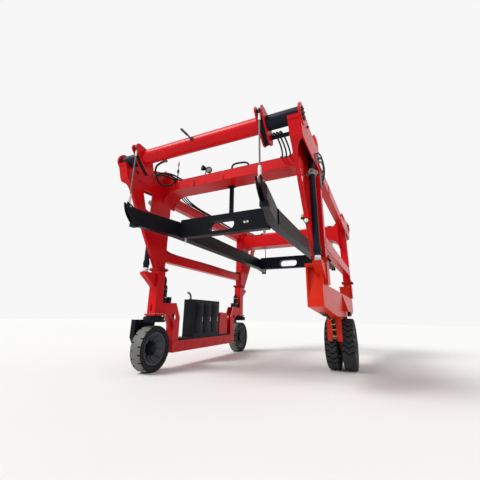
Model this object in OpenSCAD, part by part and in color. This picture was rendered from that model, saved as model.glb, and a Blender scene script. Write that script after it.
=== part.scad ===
// Straddle carrier with two steered wheels under its left frame and a
// twin drive wheel set under the middle of its right frame. Millimetres.
// X runs across the machine, Y along it, Z up; the origin is on the ground
// at the centre of the machine.

/* [Layout] */
// Distance between the left and right leg centre lines
leg_span = 4550; // [4200:10:5200]
// Distance between the near and far leg centre lines
leg_pitch = 5260; // [4900:10:6200]
// Height of the bolted flange where the legs rest on the side frames
flange_z = 2610; // [2500:10:2800]
// Thickness of the flange
flange_t = 30; // [20:1:45]
// Clearance where one piece rests on or sits in another
seat_gap = 0.3; // [0.1:0.1:1]

/* [Lift] */
// How far the gantry can be raised
lift_stroke = 1950; // [600:10:2000]
// Width of the inner mast across the machine
mast_w = 200; // [160:1:220]
// Depth of the inner mast along the machine
mast_d = 156; // [130:1:180]
// Wall of the inner mast
mast_wall = 14; // [8:1:24]
// Length of the inner mast above the flange
mast_h = 2640; // [2500:10:2680]
// Clearance between the mast and its sleeve on each side
mast_gap = 5; // [4:0.5:10]
// Wall of the sleeve
sleeve_wall = 12; // [8:1:20]
// Distance of the lift cylinders ahead of the leg centre line
cyl_ahead = 495; // [440:5:560]
// Distance of the lift cylinders outboard of the leg centre line
cyl_out = 18; // [0:1:20]
// Outer diameter of the lift cylinder barrels
barrel_d = 135; // [110:1:145]
// Diameter of the lift cylinder rods
rod_d = 85; // [60:1:90]
// Running clearance of a rod in its gland
rod_gap = 0.05; // [0.01:0.01:0.1]
// Height of the top of the barrels
barrel_top = 4940; // [4850:10:5000]

/* [Gantry] */
// Height of the top tubes' axis
tube_z = 5235; // [5150:5:5300]
// Distance of the top tubes ahead of the leg centre line
tube_ahead = 1610; // [1560:5:1640]
// Outer diameter of the fixed black tubes
fixed_tube_d = 320; // [260:1:330]
// Wall of the sliding red tubes
slide_wall = 20; // [12:1:25]
// Radial running clearance of the sliding tubes
tube_gap = 0.1; // [0.05:0.05:0.5]
// Underside height of the crossbeams
cross_z = 4900; // [4800:5:4950]
// Height of the crossbeams' section
cross_h = 290; // [220:5:320]
// Depth of the crossbeams along the machine
cross_d = 550; // [400:10:560]
// Radius of the haunches under the crossbeams
haunch_r = 435; // [300:10:500]
// Underside height of the far crossbeam, which hangs lower
far_cross_z = 4280; // [4200:5:4400]
// Height of the far crossbeam's section
far_cross_h = 510; // [400:5:560]
// Radius of the haunches under the far crossbeam
far_haunch_r = 330; // [250:10:360]
// Underside height of the upper side beams
upper_z = 4655; // [4550:5:4720]
// Underside height of the lower side beams
lower_z = 2875; // [2800:5:3000]
// Width of the side beams
side_w = 205; // [140:5:205]
// Plate thickness of the leg webs
web_t = 24; // [12:1:36]

/* [Hoist] */
// Place of the hoist across the machine, as it is parked
shift_now = -60; // [-180:10:180]
// How far the hoist shifts to each side of the centre
shift_max = 180; // [100:10:180]
// Distance from the hoist's centre to its sling plates
sling_x = 1650; // [1600:10:1660]
// Distance between the plates of a sling pair
plate_gap = 110; // [80:5:130]
// Thickness of the sling plates
plate_t = 30; // [15:1:35]
// Diameter of the slings
sling_d = 36; // [20:1:50]
// Outer diameter of the shift cylinder barrels
shift_d = 90; // [70:1:100]
// Height of the spreader's underside
spreader_z = 3370; // [3300:10:3450]
// Height of the spreader's cross beams
spreader_h = 500; // [450:10:520]
// Distance between the spreader's lock pins across the machine
lock_x = 2259; // [2259:1:2260]
// Distance between the spreader's lock pins along the machine
lock_y = 5853; // [5853:1:5854]
// Diameter of the lock pins
lock_d = 60; // [50:1:64]
// How far the lock pins stand out below the spreader
lock_out = 100; // [80:5:120]

/* [Wheels] */
// Diameter of the left steered tyres
steer_tyre_d = 1130; // [1050:5:1180]
// Width of the left steered tyres
steer_tyre_w = 350; // [280:5:360]
// Diameter of the right twin tyres
drive_tyre_d = 1380; // [1300:5:1440]
// Width of each right twin tyre
drive_tyre_w = 340; // [300:5:350]
// Distance between the centres of the twin tyres
drive_pitch = 440; // [430:5:480]
// Place of the twin wheel set across the machine
drive_x = 2165; // [2140:5:2190]
// Place of the twin wheel set along the machine
drive_y = 400; // [0:10:600]
// Outboard reach of the left wheels' hub covers from the wheel's middle
cover_out = 440; // [430:5:480]

/* [Hidden] */
$fn = 48;

leg_x = leg_span / 2;
leg_y = leg_pitch / 2;
foot_z = flange_z + flange_t;
leg_z = foot_z + seat_gap;
sleeve_w = mast_w + 2 * (mast_gap + sleeve_wall);
sleeve_d = mast_d + 2 * (mast_gap + sleeve_wall);
web_x = leg_x - sleeve_w / 2 - web_t;
head_x = leg_x + sleeve_w / 2;
post_z = 5600;
far_post_z = post_z - 350;
tube_y = leg_y + tube_ahead;
slide_tube_d = fixed_tube_d + 2 * (tube_gap + slide_wall);
cyl_x = leg_x + cyl_out;
cyl_y = leg_y + cyl_ahead;
steer_r = steer_tyre_d / 2;
drive_r = drive_tyre_d / 2;
steer_rim_d = 820;
drive_rim_d = 740;
outer_x = drive_x + drive_pitch / 2 + drive_tyre_w / 2;
mid_x = (leg_x + cover_out - outer_x) / 2;
column_base_z = 1385;
base_t = 40;
column_w = 270;
column_d = 290;
bracket_z = 2440;
bracket_t = 60;
bracket_w = 180;
bracket_reach = 100;
bracket_h = 330;
flange_w = 400;
flange_l = 380;
gland_z = foot_z + 80;
gland_h = 62;
rod_hold = 170;
frame_in = leg_x - 265;
frame_out = leg_x + 65;
low_z = 395;
low_h = 300;
low_w = 300;
pack_z = low_z + low_h;
right_low_z = 1615;
beam_low_z = 1430;
beam_low_l = 3300;
right_top_z = 2070;
tower_top_z = 2480;

// Centres the machine's box on the origin across the machine.
module placed() {
    translate([mid_x, 0, 0]) children();
}

// Sets its children on one side, drawn for the far right: side is -1 for
// left and 1 for right, end is -1 for near and 1 for far.
module at_corner(side, end) {
    mirror([side < 0 ? 1 : 0, 0, 0]) mirror([0, end < 0 ? 1 : 0, 0]) children();
}

// A plate of thickness t in the YZ plane, outline given as [y, z].
module web(x, t) {
    translate([x, 0, 0]) rotate([90, 0, 90]) linear_extrude(t) children();
}

module box(x, y, z) {
    translate([x[0], y[0], z[0]]) cube([x[1] - x[0], y[1] - y[0], z[1] - z[0]]);
}

module rod_x(x, y, z, h, d) {
    translate([x, y, z]) rotate([0, 90, 0]) cylinder(h = h, d = d);
}

// The four corners of the straight part between two round lobes.
function bridge(a, ra, b, rb) = let (n = norm(b - a), u = (b - a) / n, w = [-u[1], u[0]],
    k = (ra - rb) / n, q = sqrt(1 - k * k))
    [a + ra * (k * u + q * w), b + rb * (k * u + q * w), b + rb * (k * u - q * w), a + ra * (k * u - q * w)];

// Lower column of a side frame with its flange and the cylinder's bracket.
module column(base_z) {
    box([leg_x - column_w / 2, leg_x + column_w / 2], [leg_y - column_d / 2, leg_y + column_d / 2],
        [base_z, flange_z]);
    box([leg_x - flange_w / 2, leg_x + flange_w / 2], [leg_y - flange_l / 2, leg_y + flange_l / 2],
        [flange_z, foot_z]);
    web(cyl_x - bracket_w / 2, bracket_w) polygon([[leg_y, bracket_z + bracket_t],
        [cyl_y + bracket_reach, bracket_z + bracket_t], [cyl_y + bracket_reach, bracket_z],
        [leg_y + column_d / 2, bracket_z - bracket_h], [leg_y, bracket_z - bracket_h]]);
}

module mast(h) {
    difference() {
        box([leg_x - mast_w / 2, leg_x + mast_w / 2], [leg_y - mast_d / 2, leg_y + mast_d / 2],
            [foot_z, foot_z + h]);
        box([leg_x - mast_w / 2 + mast_wall, leg_x + mast_w / 2 - mast_wall],
            [leg_y - mast_d / 2 + mast_wall, leg_y + mast_d / 2 - mast_wall],
            [foot_z + 20, foot_z + h + 1]);
    }
}

module lift_rod() {
    translate([cyl_x, cyl_y, bracket_z + bracket_t]) {
        cylinder(h = gland_z - 40 - bracket_z - bracket_t, d = rod_d + 45);
        cylinder(h = gland_z + lift_stroke + rod_hold - bracket_z - bracket_t, d = rod_d);
    }
}

// Leg of the gantry: sleeve round the mast with its pointed top, inner web
// with the window, slanted front flange, and the head, where the tube lies in
// a saddle of the inner web and its end sits in an ear on the outer web.
// Front profile of leg and head: [distance ahead of the leg's axis, height]
foot_front = 320;
front = [[1225, 4065], [1550, 4620], [1668, 4760], [1728, 4940], [1790, 5135]];
// Top of the head behind the tube, in the same terms
head_top = [[1430, 5245], [1400, 5390], [880, 5335]];
head_top_t = 20;
outer_low_z = 4700;
ear_r = 225;
ear_out = 16;
ear_in = 10;
lip_t = 16;
hole_d = 40;
front_w = cyl_x - barrel_d / 2 - 1.5 - web_x;
arch_z = 4450;
arch_rise = 1.5;
clamp_w = 90;
clamp_h = 80;
clamp_z = barrel_top - 420;
// Window and small hole of the inner web, placed in the same terms
window = [[775, 4170], [860, 4180], [1010, 4605], [760, 4610]];
window_r = 60;
hole = [1273, 4824];
front_t = 22;
module front_plate(from, to, w) {
    for (i = [from:to]) {
        a = front[i];
        b = front[i + 1];
        web(web_x, w) polygon([[leg_y + a[0], a[1]], [leg_y + b[0], b[1]],
            [leg_y + b[0] - front_t, b[1]], [leg_y + a[0] - front_t, a[1]]]);
    }
}
module leg(top_z) {
    tube = [tube_y, tube_z];
    shoulder_z = min(head_top[2][1], top_z);
    head_back = [for (p = head_top) [leg_y + p[0], p[1]]];
    back_y = leg_y + sleeve_d / 2 - sleeve_wall;
    plate_y = leg_y + sleeve_d / 2 - 1;
    drop = [0, -head_top_t];
    color("firebrick") difference() {
        union() {
            box([leg_x - sleeve_w / 2, head_x], [leg_y - sleeve_d / 2, leg_y + sleeve_d / 2], [leg_z, top_z]);
            translate([0, leg_y + sleeve_d / 2, 0]) rotate([90, 0, 0]) linear_extrude(sleeve_d)
                polygon([[leg_x - sleeve_w / 2, top_z], [head_x, top_z], [leg_x + 70, top_z + 150]]);
            web(web_x, web_t) polygon(concat([[leg_y - sleeve_d / 2, leg_z], [leg_y + foot_front, leg_z]],
                [for (p = front) [leg_y + p[0], p[1]]], head_back,
                [[leg_y + sleeve_d / 2, top_z], [leg_y - sleeve_d / 2, top_z]]));
            web(head_x - web_t, web_t) polygon(concat([[leg_y + front[1][0] + 40, outer_low_z]],
                [for (i = [2:4]) [leg_y + front[i][0], front[i][1]]],
                [tube + ear_r * [cos(35), sin(35)], tube + ear_r * [-0.2, 0.98], head_back[2],
                [back_y, shoulder_z], [back_y, outer_low_z + 60], [leg_y + 850, outer_low_z]]));
            // foot stretch of the slanted flange
            web(web_x, front_w) polygon([[leg_y + foot_front - front_t, leg_z], [leg_y + foot_front, leg_z],
                [leg_y + front[0][0], front[0][1]], [leg_y + front[0][0] - front_t, front[0][1]]]);
            front_plate(0, 0, front_w);
            // full-width front of the head, arched over the cylinder's recess
            difference() {
                front_plate(0, 3, head_x - web_x);
                translate([head_x + 1, leg_y + foot_front, arch_z]) scale([1, 1, arch_rise])
                    rotate([-90, 0, 0]) cylinder(h = front[2][0], r = head_x + 1 - web_x - front_w);
                box([web_x + front_w, head_x + 1], [leg_y, leg_y + front[2][0]], [front[0][1] - 1, arch_z]);
            }
            // lip along the top of the front
            web(web_x, head_x - web_x) translate([leg_y + front[4][0], front[4][1]])
                polygon([[-25, -60], [-6, 2], [lip_t, -5], [lip_t - 19, -67]]);
            // top plate of the head, behind the tube
            web(web_x, head_x - web_x) polygon([[plate_y, shoulder_z], head_back[2], head_back[1],
                head_back[1] + drop, head_back[2] + drop, [plate_y, shoulder_z] + drop]);
            // clamp that holds the lift cylinder
            box([cyl_x - clamp_w / 2, cyl_x + clamp_w / 2], [plate_y, cyl_y - barrel_d / 2 - seat_gap],
                [clamp_z, clamp_z + clamp_h]);
            rod_x(head_x - web_t - ear_in, tube_y, tube_z, web_t + ear_in + ear_out, 2 * ear_r);
        }
        rod_x(web_x - 60, tube_y, tube_z, head_x - web_x + 120, fixed_tube_d + 2 * seat_gap);
        // passage of the shift cylinder
        rod_x(web_x - 1, shift_y, shift_z, web_t + 2, shift_d + 14);
        // small hole and window of the inner web
        rod_x(web_x - 1, leg_y + hole[0], hole[1], web_t + 2, hole_d);
        web(web_x - 1, web_t + 2) hull() for (p = window) translate([leg_y + p[0], p[1]]) circle(window_r);
        // passage of the mast
        box([leg_x - mast_w / 2 - mast_gap, leg_x + mast_w / 2 + mast_gap],
            [leg_y - mast_d / 2 - mast_gap, leg_y + mast_d / 2 + mast_gap], [leg_z - 1, top_z - 20]);
    }
}

// Crossbeam with an arched haunch against each leg.
module crossbeam(z, h, r) {
    x0 = web_x - seat_gap;
    arc = x0 - r;
    color("red") translate([0, leg_y + cross_d / 2, 0]) rotate([90, 0, 0]) linear_extrude(cross_d)
    difference() {
        translate([-x0, z - r]) square([2 * x0, h + r]);
        for (s = [-1, 1]) translate([s * arc, z - r]) circle(r, $fn = 96);
        translate([-arc, z - r - 1]) square([2 * arc, r + 1]);
    }
}

// Plates that hold the slings: [ahead of the tube's axis, above it, radius]
top_lobe = [268, 148, 95];
low_lobe = [-175, -280, 135];
shift_y = tube_y - 250;
shift_z = tube_z - 200;
sling_y = tube_y + top_lobe[0];
pin_r = 35;
plate_out = sling_x + plate_gap / 2 + plate_t;
module sling_plate(t, inset) {
    r = slide_tube_d / 2 + 35 - inset;
    web(-t / 2, t) for (lobe = [top_lobe, low_lobe]) {
        c = [lobe[0], lobe[1]];
        polygon(bridge([0, 0], r, c, lobe[2] - inset));
        circle(r);
        translate(c) circle(lobe[2] - inset);
    }
}
module sliding_tube() {
    difference() {
        union() {
            rod_x(-plate_out, 0, 0, 2 * plate_out, slide_tube_d);
            for (s = [-1, 1], k = [-1, 1])
                translate([s * sling_x + k * (plate_gap + plate_t) / 2, 0, 0]) sling_plate(plate_t, 0);
        }
        rod_x(-2 * sling_x, 0, 0, 4 * sling_x, fixed_tube_d + 2 * tube_gap);
    }
}

// Side beam of the spreader: the middle stretch, its two flared arms and
// the round lug at each tip.
beam_in = 1250;
beam_out = 1500;
arm_low = 40;
cross_half = 100;
arm_top = spreader_h - 60;
arm_end = sling_y - 230;
arm_half_w = 60;
lug_t = 24;
lug_top = spreader_z + spreader_h - 70;
// Outline of a lug plate round the sling's pin: [ahead of the pin, above it]
lug = [[-231, -385], [-231, 8], [-90, 30], [-30, 62], [20, 64], [62, 88], [92, 92], [98, 72], [84, 20],
    [66, -50], [30, -130], [-30, -215], [-110, -300]];
module spreader_side() {
    color("dimgray") {
        box([beam_in, beam_out], [-lock_y / 2 - cross_half, lock_y / 2 + cross_half],
            [spreader_z + arm_low, spreader_z + arm_top]);
        for (e = [-1, 1]) mirror([0, e < 0 ? 1 : 0, 0]) {
            translate([0, 0, spreader_z + arm_low]) linear_extrude(arm_top - arm_low) polygon([
                [beam_in, lock_y / 2 + cross_half - 1], [beam_out, lock_y / 2 + cross_half - 1],
                [sling_x + arm_half_w, arm_end], [sling_x - arm_half_w, arm_end]]);
            for (x = [sling_x - arm_half_w, sling_x + arm_half_w - lug_t]) web(x, lug_t)
                translate([sling_y, lug_top]) polygon(lug);
        }
    }
}

module wheel_tyre(d, w, rim_d) {
    r = d / 2;
    rotate([0, 90, 0]) rotate_extrude($fn = 64) polygon([
        [rim_d / 2, -w / 2 + 45], [rim_d / 2 + 22, -w / 2 + 8], [rim_d / 2 + 70, -w / 2],
        [r - 100, -w / 2 + 6], [r - 28, -w / 2 + 24], [r - 4, -w / 2 + 62], [r, -w / 2 + 100],
        [r, w / 2 - 100], [r - 4, w / 2 - 62],
        [r - 28, w / 2 - 24], [r - 100, w / 2 - 6], [rim_d / 2 + 70, w / 2], [rim_d / 2 + 22, w / 2 - 8],
        [rim_d / 2, w / 2 - 45]]);
}

// Rim with its wheel disc, whose outer face lies at the given place
module rim(d, w, face) {
    r = d / 2 - seat_gap;
    rotate([0, 90, 0]) rotate_extrude($fn = 64) polygon([
        [0, face - 30], [r - 60, face - 30], [r - 34, face - 50], [r - 34, -w / 2 + 50],
        [r - 20, -w / 2 + 30], [r, -w / 2 + 30], [r, w / 2 - 30],
        [r - 20, w / 2 - 30], [r - 34, w / 2 - 50], [r - 34, face + 20],
        [r - 60, face], [0, face]]);
}

module steer_wheel_place(end) {
    translate([-leg_x, end * leg_y, steer_r]) children();
}
fork_in = steer_tyre_w / 2 + 100;
fork_t = 150;
arm_half = 370;
arm_z = 830;
fork_out = fork_in + fork_t;
shaft_d = 140;
turn_z = column_base_z - 110;
module fork(end) {
    color("dimgray") translate([-leg_x, end * leg_y, 0]) {
        translate([0, 0, turn_z]) cylinder(h = column_base_z - seat_gap - turn_z, d = 420);
        translate([0, 0, turn_z - 30]) cylinder(h = 60, d = 560);
        difference() {
            union() {
                web(-fork_out, fork_t) {
                    polygon([[-arm_half, turn_z], [-arm_half, arm_z], [-160, steer_r - 60],
                        [160, steer_r - 60], [arm_half, arm_z], [arm_half, turn_z]]);
                    translate([0, steer_r]) circle(170);
                }
                box([-fork_out, 200], [-240, 240], [turn_z - 60, turn_z]);
                // rounded inner corner over the tyre
                translate([0, 300, 0]) rotate([90, 0, 0]) linear_extrude(600) difference() {
                    translate([-fork_in - 1, turn_z - 120]) square([121, 120]);
                    translate([-fork_in + 120, turn_z - 150]) circle(120);
                }
            }
            rod_x(-fork_out - 1, 0, steer_r, fork_t + 2, shaft_d + 0.2);
        }
    }
}

module steer_hub(end) {
    color("dimgray") steer_wheel_place(end) {
        rod_x(-fork_out - 1, 0, 0, fork_out + 20, shaft_d);
        rod_x(-fork_in + seat_gap, 0, 0, fork_in - 50, 250);
        rod_x(-cover_out, 0, 0, cover_out - fork_out - seat_gap, 220);
        rim(steer_rim_d, steer_tyre_w, -60);
        rod_x(-100, 0, 0, 130, 330);
        rod_x(-100, 0, 0, 175, 200);
    }
}

// Side frames
neck_in = 1650;
neck_out = 1920;
module gooseneck() {
    top_z = column_base_z + 330;
    end_y = leg_y - column_d / 2 - seat_gap;
    difference() {
        polygon([[neck_in, low_z], [neck_out, low_z], [neck_out, column_base_z + base_t],
            [end_y, column_base_z + base_t], [end_y, top_z], [neck_out - 60, top_z + 30],
            [neck_in, top_z - 370]]);
        translate([neck_out, column_base_z + base_t - 90]) circle(90);
    }
    translate([neck_out - 2, column_base_z + base_t - 180]) difference() {
        square([92, 180]);
        translate([92, 0]) circle(92);
        translate([2, -1]) square([91, 1]);
    }
}
module left_beam() placed() {
    color("red") {
        box([-leg_x - low_w / 2, -leg_x + low_w / 2], [-neck_out, neck_out], [low_z, pack_z]);
        for (e = [-1, 1]) mirror([0, e < 0 ? 1 : 0, 0]) {
            for (x = [-leg_x - 130, -leg_x + 106]) web(x, 24) gooseneck();
            box([-leg_x - 130, -leg_x + 130], [neck_out - 24, neck_out], [low_z, column_base_z - 60]);
            box([-leg_x - 130, -leg_x + 130], [neck_out + 60, leg_y - column_d / 2 - seat_gap],
                [column_base_z + base_t, column_base_z + base_t + 24]);
        }
    }
}

slot_w = 60;
slot_h = 170;
slot_deep = 40;
module left_column(end) {
    color("red") {
        difference() {
            at_corner(-1, end) column(column_base_z);
            translate([-leg_x, end * (leg_y + column_d / 2), column_base_z + 200]) rotate([90, 0, 0])
                linear_extrude(2 * slot_deep, center = true) {
                    square([slot_w, slot_h - slot_w], center = true);
                    for (k = [-1, 1]) translate([0, k * (slot_h - slot_w) / 2]) circle(d = slot_w);
                }
        }
        box([-leg_x - 170, -leg_x + 170], [end * leg_y - 200, end * leg_y + 200],
            [column_base_z, column_base_z + base_t - seat_gap]);
    }
}

tower_in = leg_y - 300;
tower_front = leg_y + 400;
recess_t = 36;
recess_d = 150;
brim = 14;
module right_beam() placed() {
    color("orangered") {
        // box beam whose underside falls towards the wheels
        web(frame_in, frame_out - frame_in) polygon([[-tower_front, right_low_z],
            [drive_y - beam_low_l / 2, beam_low_z], [drive_y + beam_low_l / 2, beam_low_z],
            [tower_front, right_low_z], [leg_y - 200, right_top_z], [-leg_y + 200, right_top_z]]);
        for (e = [-1, 1]) at_corner(1, e) {
            column(right_top_z);
            difference() {
                box([frame_in, frame_out], [tower_in, tower_front], [right_low_z, tower_top_z]);
                // sunk front panel that runs out at its foot
                web(frame_in + recess_t, frame_out - frame_in - 2 * recess_t) polygon([
                    [tower_front + 1, right_low_z + 150], [tower_front + 1, tower_top_z - 70],
                    [tower_front - recess_d, tower_top_z - 70]]);
            }
            box([frame_in - brim, frame_out + brim], [tower_in, tower_front + brim],
                [tower_top_z - 34, tower_top_z]);
        }
        // sloped skirt over the outer wheel
        translate([0, drive_y + skirt_l / 2, 0]) rotate([90, 0, 0]) linear_extrude(skirt_l)
            polygon([[frame_out - 1, right_top_z], [frame_out - 1, skirt_z], [frame_out + 1, skirt_z],
                [frame_out + skirt_w, skirt_z]]);
    }
}
skirt_l = 800;
skirt_w = 140;
skirt_z = right_low_z - 45;

module left_column_near() placed() left_column(-1);
module left_column_far() placed() left_column(1);
module mast_pair(side) for (e = [-1, 1]) at_corner(side, e) mast(mast_h - (e > 0 ? post_z - far_post_z : 0));
module left_masts() placed() color("firebrick") mast_pair(-1);
module right_masts() placed() color("firebrick") mast_pair(1);
module left_lift_rods() placed() color("silver") for (e = [-1, 1]) at_corner(-1, e) lift_rod();
module right_lift_rods() placed() color("silver") for (e = [-1, 1]) at_corner(1, e) lift_rod();
// Power pack on the left beam: its reach outboard and inboard of the beam's middle
pack_out = 300;
pack_in = 130;
pack_l = 3000;
deck_z = pack_z + 60;
hood_y = [-900, 700];
hood_top_z = 1900;
hood_t = 20;
engine_y = [-700, 500];
engine_gap = 50;
tank_y = [800, 1400];
tank_top_z = 1500;
module pack_box(inset, y, z) box([-leg_x - pack_out + inset, -leg_x + pack_in - inset], y, z);
module power_pack_base() placed() color("black")
    pack_box(0, [-pack_l / 2, pack_l / 2], [pack_z + seat_gap, deck_z]);
module engine_block() placed() color("dimgray")
    pack_box(engine_gap, engine_y, [deck_z + seat_gap, tank_top_z]);
module power_pack_hood() placed() color("black") difference() {
    pack_box(0, hood_y, [deck_z + seat_gap, hood_top_z]);
    pack_box(hood_t, hood_y + [hood_t, -hood_t], [deck_z, hood_top_z - hood_t]);
}
module hydraulic_tank() placed() color("red") pack_box(hood_t, tank_y, [deck_z + seat_gap, tank_top_z]);

module near_fork() placed() fork(-1);
module far_fork() placed() fork(1);
module near_wheel_hub() placed() steer_hub(-1);
module far_wheel_hub() placed() steer_hub(1);
module near_tyre() placed() color("dimgray") steer_wheel_place(-1)
    wheel_tyre(steer_tyre_d, steer_tyre_w, steer_rim_d);
module far_tyre() placed() color("dimgray") steer_wheel_place(1)
    wheel_tyre(steer_tyre_d, steer_tyre_w, steer_rim_d);

hanger_t = 64;
hanger_y = drive_r + 100;
hanger_low_z = 800;
hanger_half = 850;
module wheel_hangers() placed() {
    top = beam_low_z - seat_gap;
    color("orangered") translate([drive_x, drive_y, 0]) difference() {
        union() {
            web(-hanger_t / 2, hanger_t) polygon([[-hanger_half, top], [hanger_half, top],
                [200, drive_r - 150], [-200, drive_r - 150]]);
            for (e = [-1, 1], x = [[-245, -110], [-10, 135]])
                box(x, [e * hanger_y - 25, e * hanger_y + 25], [hanger_low_z, top]);
            for (e = [-1, 1]) box([-245, 135], [e * hanger_y - 25, e * hanger_y + 25], [top - 60, top]);
        }
        rod_x(-hanger_t, 0, drive_r, 2 * hanger_t, 160.2);
    }
}
module drive_wheel_place() {
    translate([drive_x, drive_y, drive_r]) children();
}
module drive_hubs() placed() color("dimgray") drive_wheel_place() {
    rod_x(-drive_pitch / 2 - 60, 0, 0, drive_pitch + 120, 160);
    for (s = [-1, 1]) mirror([s < 0 ? 1 : 0, 0, 0]) translate([drive_pitch / 2, 0, 0]) {
        rim(drive_rim_d, drive_tyre_w, 60);
        rod_x(20, 0, 0, 110, 300);
    }
}
module drive_tyres() placed() color("dimgray") for (s = [-1, 1]) drive_wheel_place()
    translate([s * drive_pitch / 2, 0, 0]) wheel_tyre(drive_tyre_d, drive_tyre_w, drive_rim_d);

module leg_near_left() placed() at_corner(-1, -1) leg(post_z);
module leg_near_right() placed() at_corner(1, -1) leg(post_z);
module leg_far_left() placed() at_corner(-1, 1) leg(far_post_z);
module leg_far_right() placed() at_corner(1, 1) leg(far_post_z);
module crossbeam_near() placed() mirror([0, 1, 0]) crossbeam(cross_z, cross_h, haunch_r);
module crossbeam_far() placed() crossbeam(far_cross_z, far_cross_h, far_haunch_r);
module side_beams(z, h) for (s = [-1, 1]) box([s * (leg_x + 20) - side_w / 2, s * (leg_x + 20) + side_w / 2],
    [-leg_y + sleeve_d / 2 + seat_gap, leg_y - sleeve_d / 2 - seat_gap], [z, z + h]);
module upper_side_beams() placed() color("red") side_beams(upper_z, 310);
module lower_side_beams() placed() color("red") side_beams(lower_z, 270);
cover_t = 12 - seat_gap;
module fixed_tubes() placed() color("dimgray") for (e = [-1, 1]) {
    half = head_x + ear_out + seat_gap;
    rod_x(-half, e * tube_y, tube_z, 2 * half, fixed_tube_d);
    for (x = [-half - cover_t, half]) rod_x(x, e * tube_y, tube_z, cover_t, fixed_tube_d - 40);
}
module lift_barrels() placed() color("dimgray") for (s = [-1, 1], e = [-1, 1]) at_corner(s, e) difference() {
    translate([cyl_x, cyl_y, gland_z]) {
        cylinder(h = barrel_top - gland_z, d = barrel_d);
        cylinder(h = gland_h + 28, d = barrel_d + 22);
    }
    translate([cyl_x, cyl_y, gland_z - 1]) cylinder(h = gland_h, d = rod_d + 2 * rod_gap);
    translate([cyl_x, cyl_y, gland_z + 40]) cylinder(h = barrel_top - gland_z - 80, d = barrel_d - 30);
}

// Side-shift cylinders at the right: barrel on the sling plate, rod in the head
shift_in = plate_out + seat_gap;
shift_end = head_x - web_t - shift_max - 10;
shift_tip = shift_end - shift_max - 40;
module shift_barrels() placed() color("dimgray") translate([shift_now, 0, 0])
for (e = [-1, 1]) at_corner(1, e) difference() {
    rod_x(shift_in, shift_y, shift_z, shift_end - shift_in, shift_d);
    rod_x(shift_in + 10, shift_y, shift_z, shift_end - shift_in, 50 + 2 * rod_gap);
}
module shift_rods() placed() color("silver") for (e = [-1, 1]) at_corner(1, e)
    rod_x(shift_tip, shift_y, shift_z, head_x - web_t - seat_gap - shift_tip, 50);

lamp_x = [-720, -900];
lamp_d = 150;
lamp_z = cross_z + cross_h + seat_gap;
module floodlights() placed() color("black") for (x = lamp_x) translate([x, -leg_y, lamp_z]) {
    cylinder(h = 90, d = 30);
    translate([0, 60, 130]) rotate([90, 0, 0]) cylinder(h = 90, d = lamp_d);
}
beacon_y = leg_y + 540;
beacon_z = 3418;
beacon_d = 95;
module beacons() placed() color("orange") {
    box([web_x - 130, web_x - seat_gap], [-beacon_y - 60, -beacon_y + 60], [beacon_z, beacon_z + 12]);
    translate([web_x - 80, -beacon_y, beacon_z + 11]) cylinder(h = beacon_d, d = beacon_d);
}

module sliding_tubes() placed() color("red") translate([shift_now, 0, 0])
for (e = [-1, 1]) mirror([0, e < 0 ? 1 : 0, 0])
    translate([0, tube_y, tube_z]) sliding_tube();
// Saddle between two sling plates, and the pin in front of it
module sling_saddles() placed() color("dimgray") translate([shift_now, 0, 0]) for (s = [-1, 1], e = [-1, 1])
    mirror([0, e < 0 ? 1 : 0, 0]) translate([s * sling_x, tube_y, tube_z]) {
        t = plate_gap - 2 * seat_gap;
        r = slide_tube_d / 2 + 13;
        difference() {
            web(-t / 2, t) for (lobe = [[160, 108, 60], low_lobe - [0, 0, 22]]) {
                c = [lobe[0], lobe[1]];
                polygon(bridge([0, 0], r, c, lobe[2]));
                circle(r);
                translate(c) circle(lobe[2]);
            }
            rod_x(-plate_gap, 0, 0, 2 * plate_gap, slide_tube_d + 2 * seat_gap);
        }
        rod_x(-t / 2, top_lobe[0], top_lobe[1], t, 2 * pin_r);
    }
module slings() placed() color("silver") translate([shift_now, 0, 0])
for (s = [-1, 1], e = [-1, 1]) at_corner(s, e) {
    pin_z = tube_z + top_lobe[1];
    pin_in = sling_x - arm_half_w + lug_t + seat_gap;
    rod_x(pin_in, sling_y, lug_top, 2 * (sling_x - pin_in), 50);
    translate([sling_x, sling_y, lug_top]) cylinder(h = pin_z - pin_r - 5 - lug_top, d = sling_d);
    translate([sling_x, sling_y, lug_top + 245]) cylinder(h = 300, d = sling_d + 34);
    translate([sling_x - 20, sling_y, pin_z]) rotate([0, 90, 0]) difference() {
        cylinder(h = 40, r = pin_r + 18);
        translate([0, 0, -1]) cylinder(h = 42, r = pin_r + seat_gap);
    }
}
module spreader_side_beams() placed() translate([shift_now, 0, 0]) for (s = [-1, 1])
    mirror([s < 0 ? 1 : 0, 0, 0]) spreader_side();
// Thicker shank of a lock pin, which stands in a socket of the beam
lock_in = 60;
shank_d = lock_d + 20;
// Oval opening of a cross beam: its height above the underside, length and height
eye_z = 210;
eye_l = 490;
eye_h = 270;
module spreader_cross_beams() placed() color("dimgray") translate([shift_now, 0, 0]) for (e = [-1, 1])
    translate([0, e * lock_y / 2, 0]) difference() {
        box([-beam_in + seat_gap, beam_in - seat_gap], [-cross_half, cross_half],
            [spreader_z, spreader_z + spreader_h]);
        translate([0, 0, spreader_z + eye_z]) rotate([90, 0, 0])
        linear_extrude(3 * cross_half, center = true) {
            square([eye_l, eye_h], center = true);
            for (s = [-1, 1]) translate([s * eye_l / 2, 0]) circle(d = eye_h);
        }
        for (s = [-1, 1]) translate([s * lock_x / 2, 0, spreader_z - 1])
            cylinder(h = lock_in + 1, d = shank_d + 2 * seat_gap);
    }
module lock_pins() placed() color("silver") translate([shift_now, 0, 0]) for (s = [-1, 1], e = [-1, 1])
    translate([s * lock_x / 2, e * lock_y / 2, spreader_z]) {
        translate([0, 0, -lock_out]) cylinder(h = lock_out + lock_in / 2, d = lock_d);
        cylinder(h = lock_in - seat_gap, d = shank_d);
    }

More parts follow.
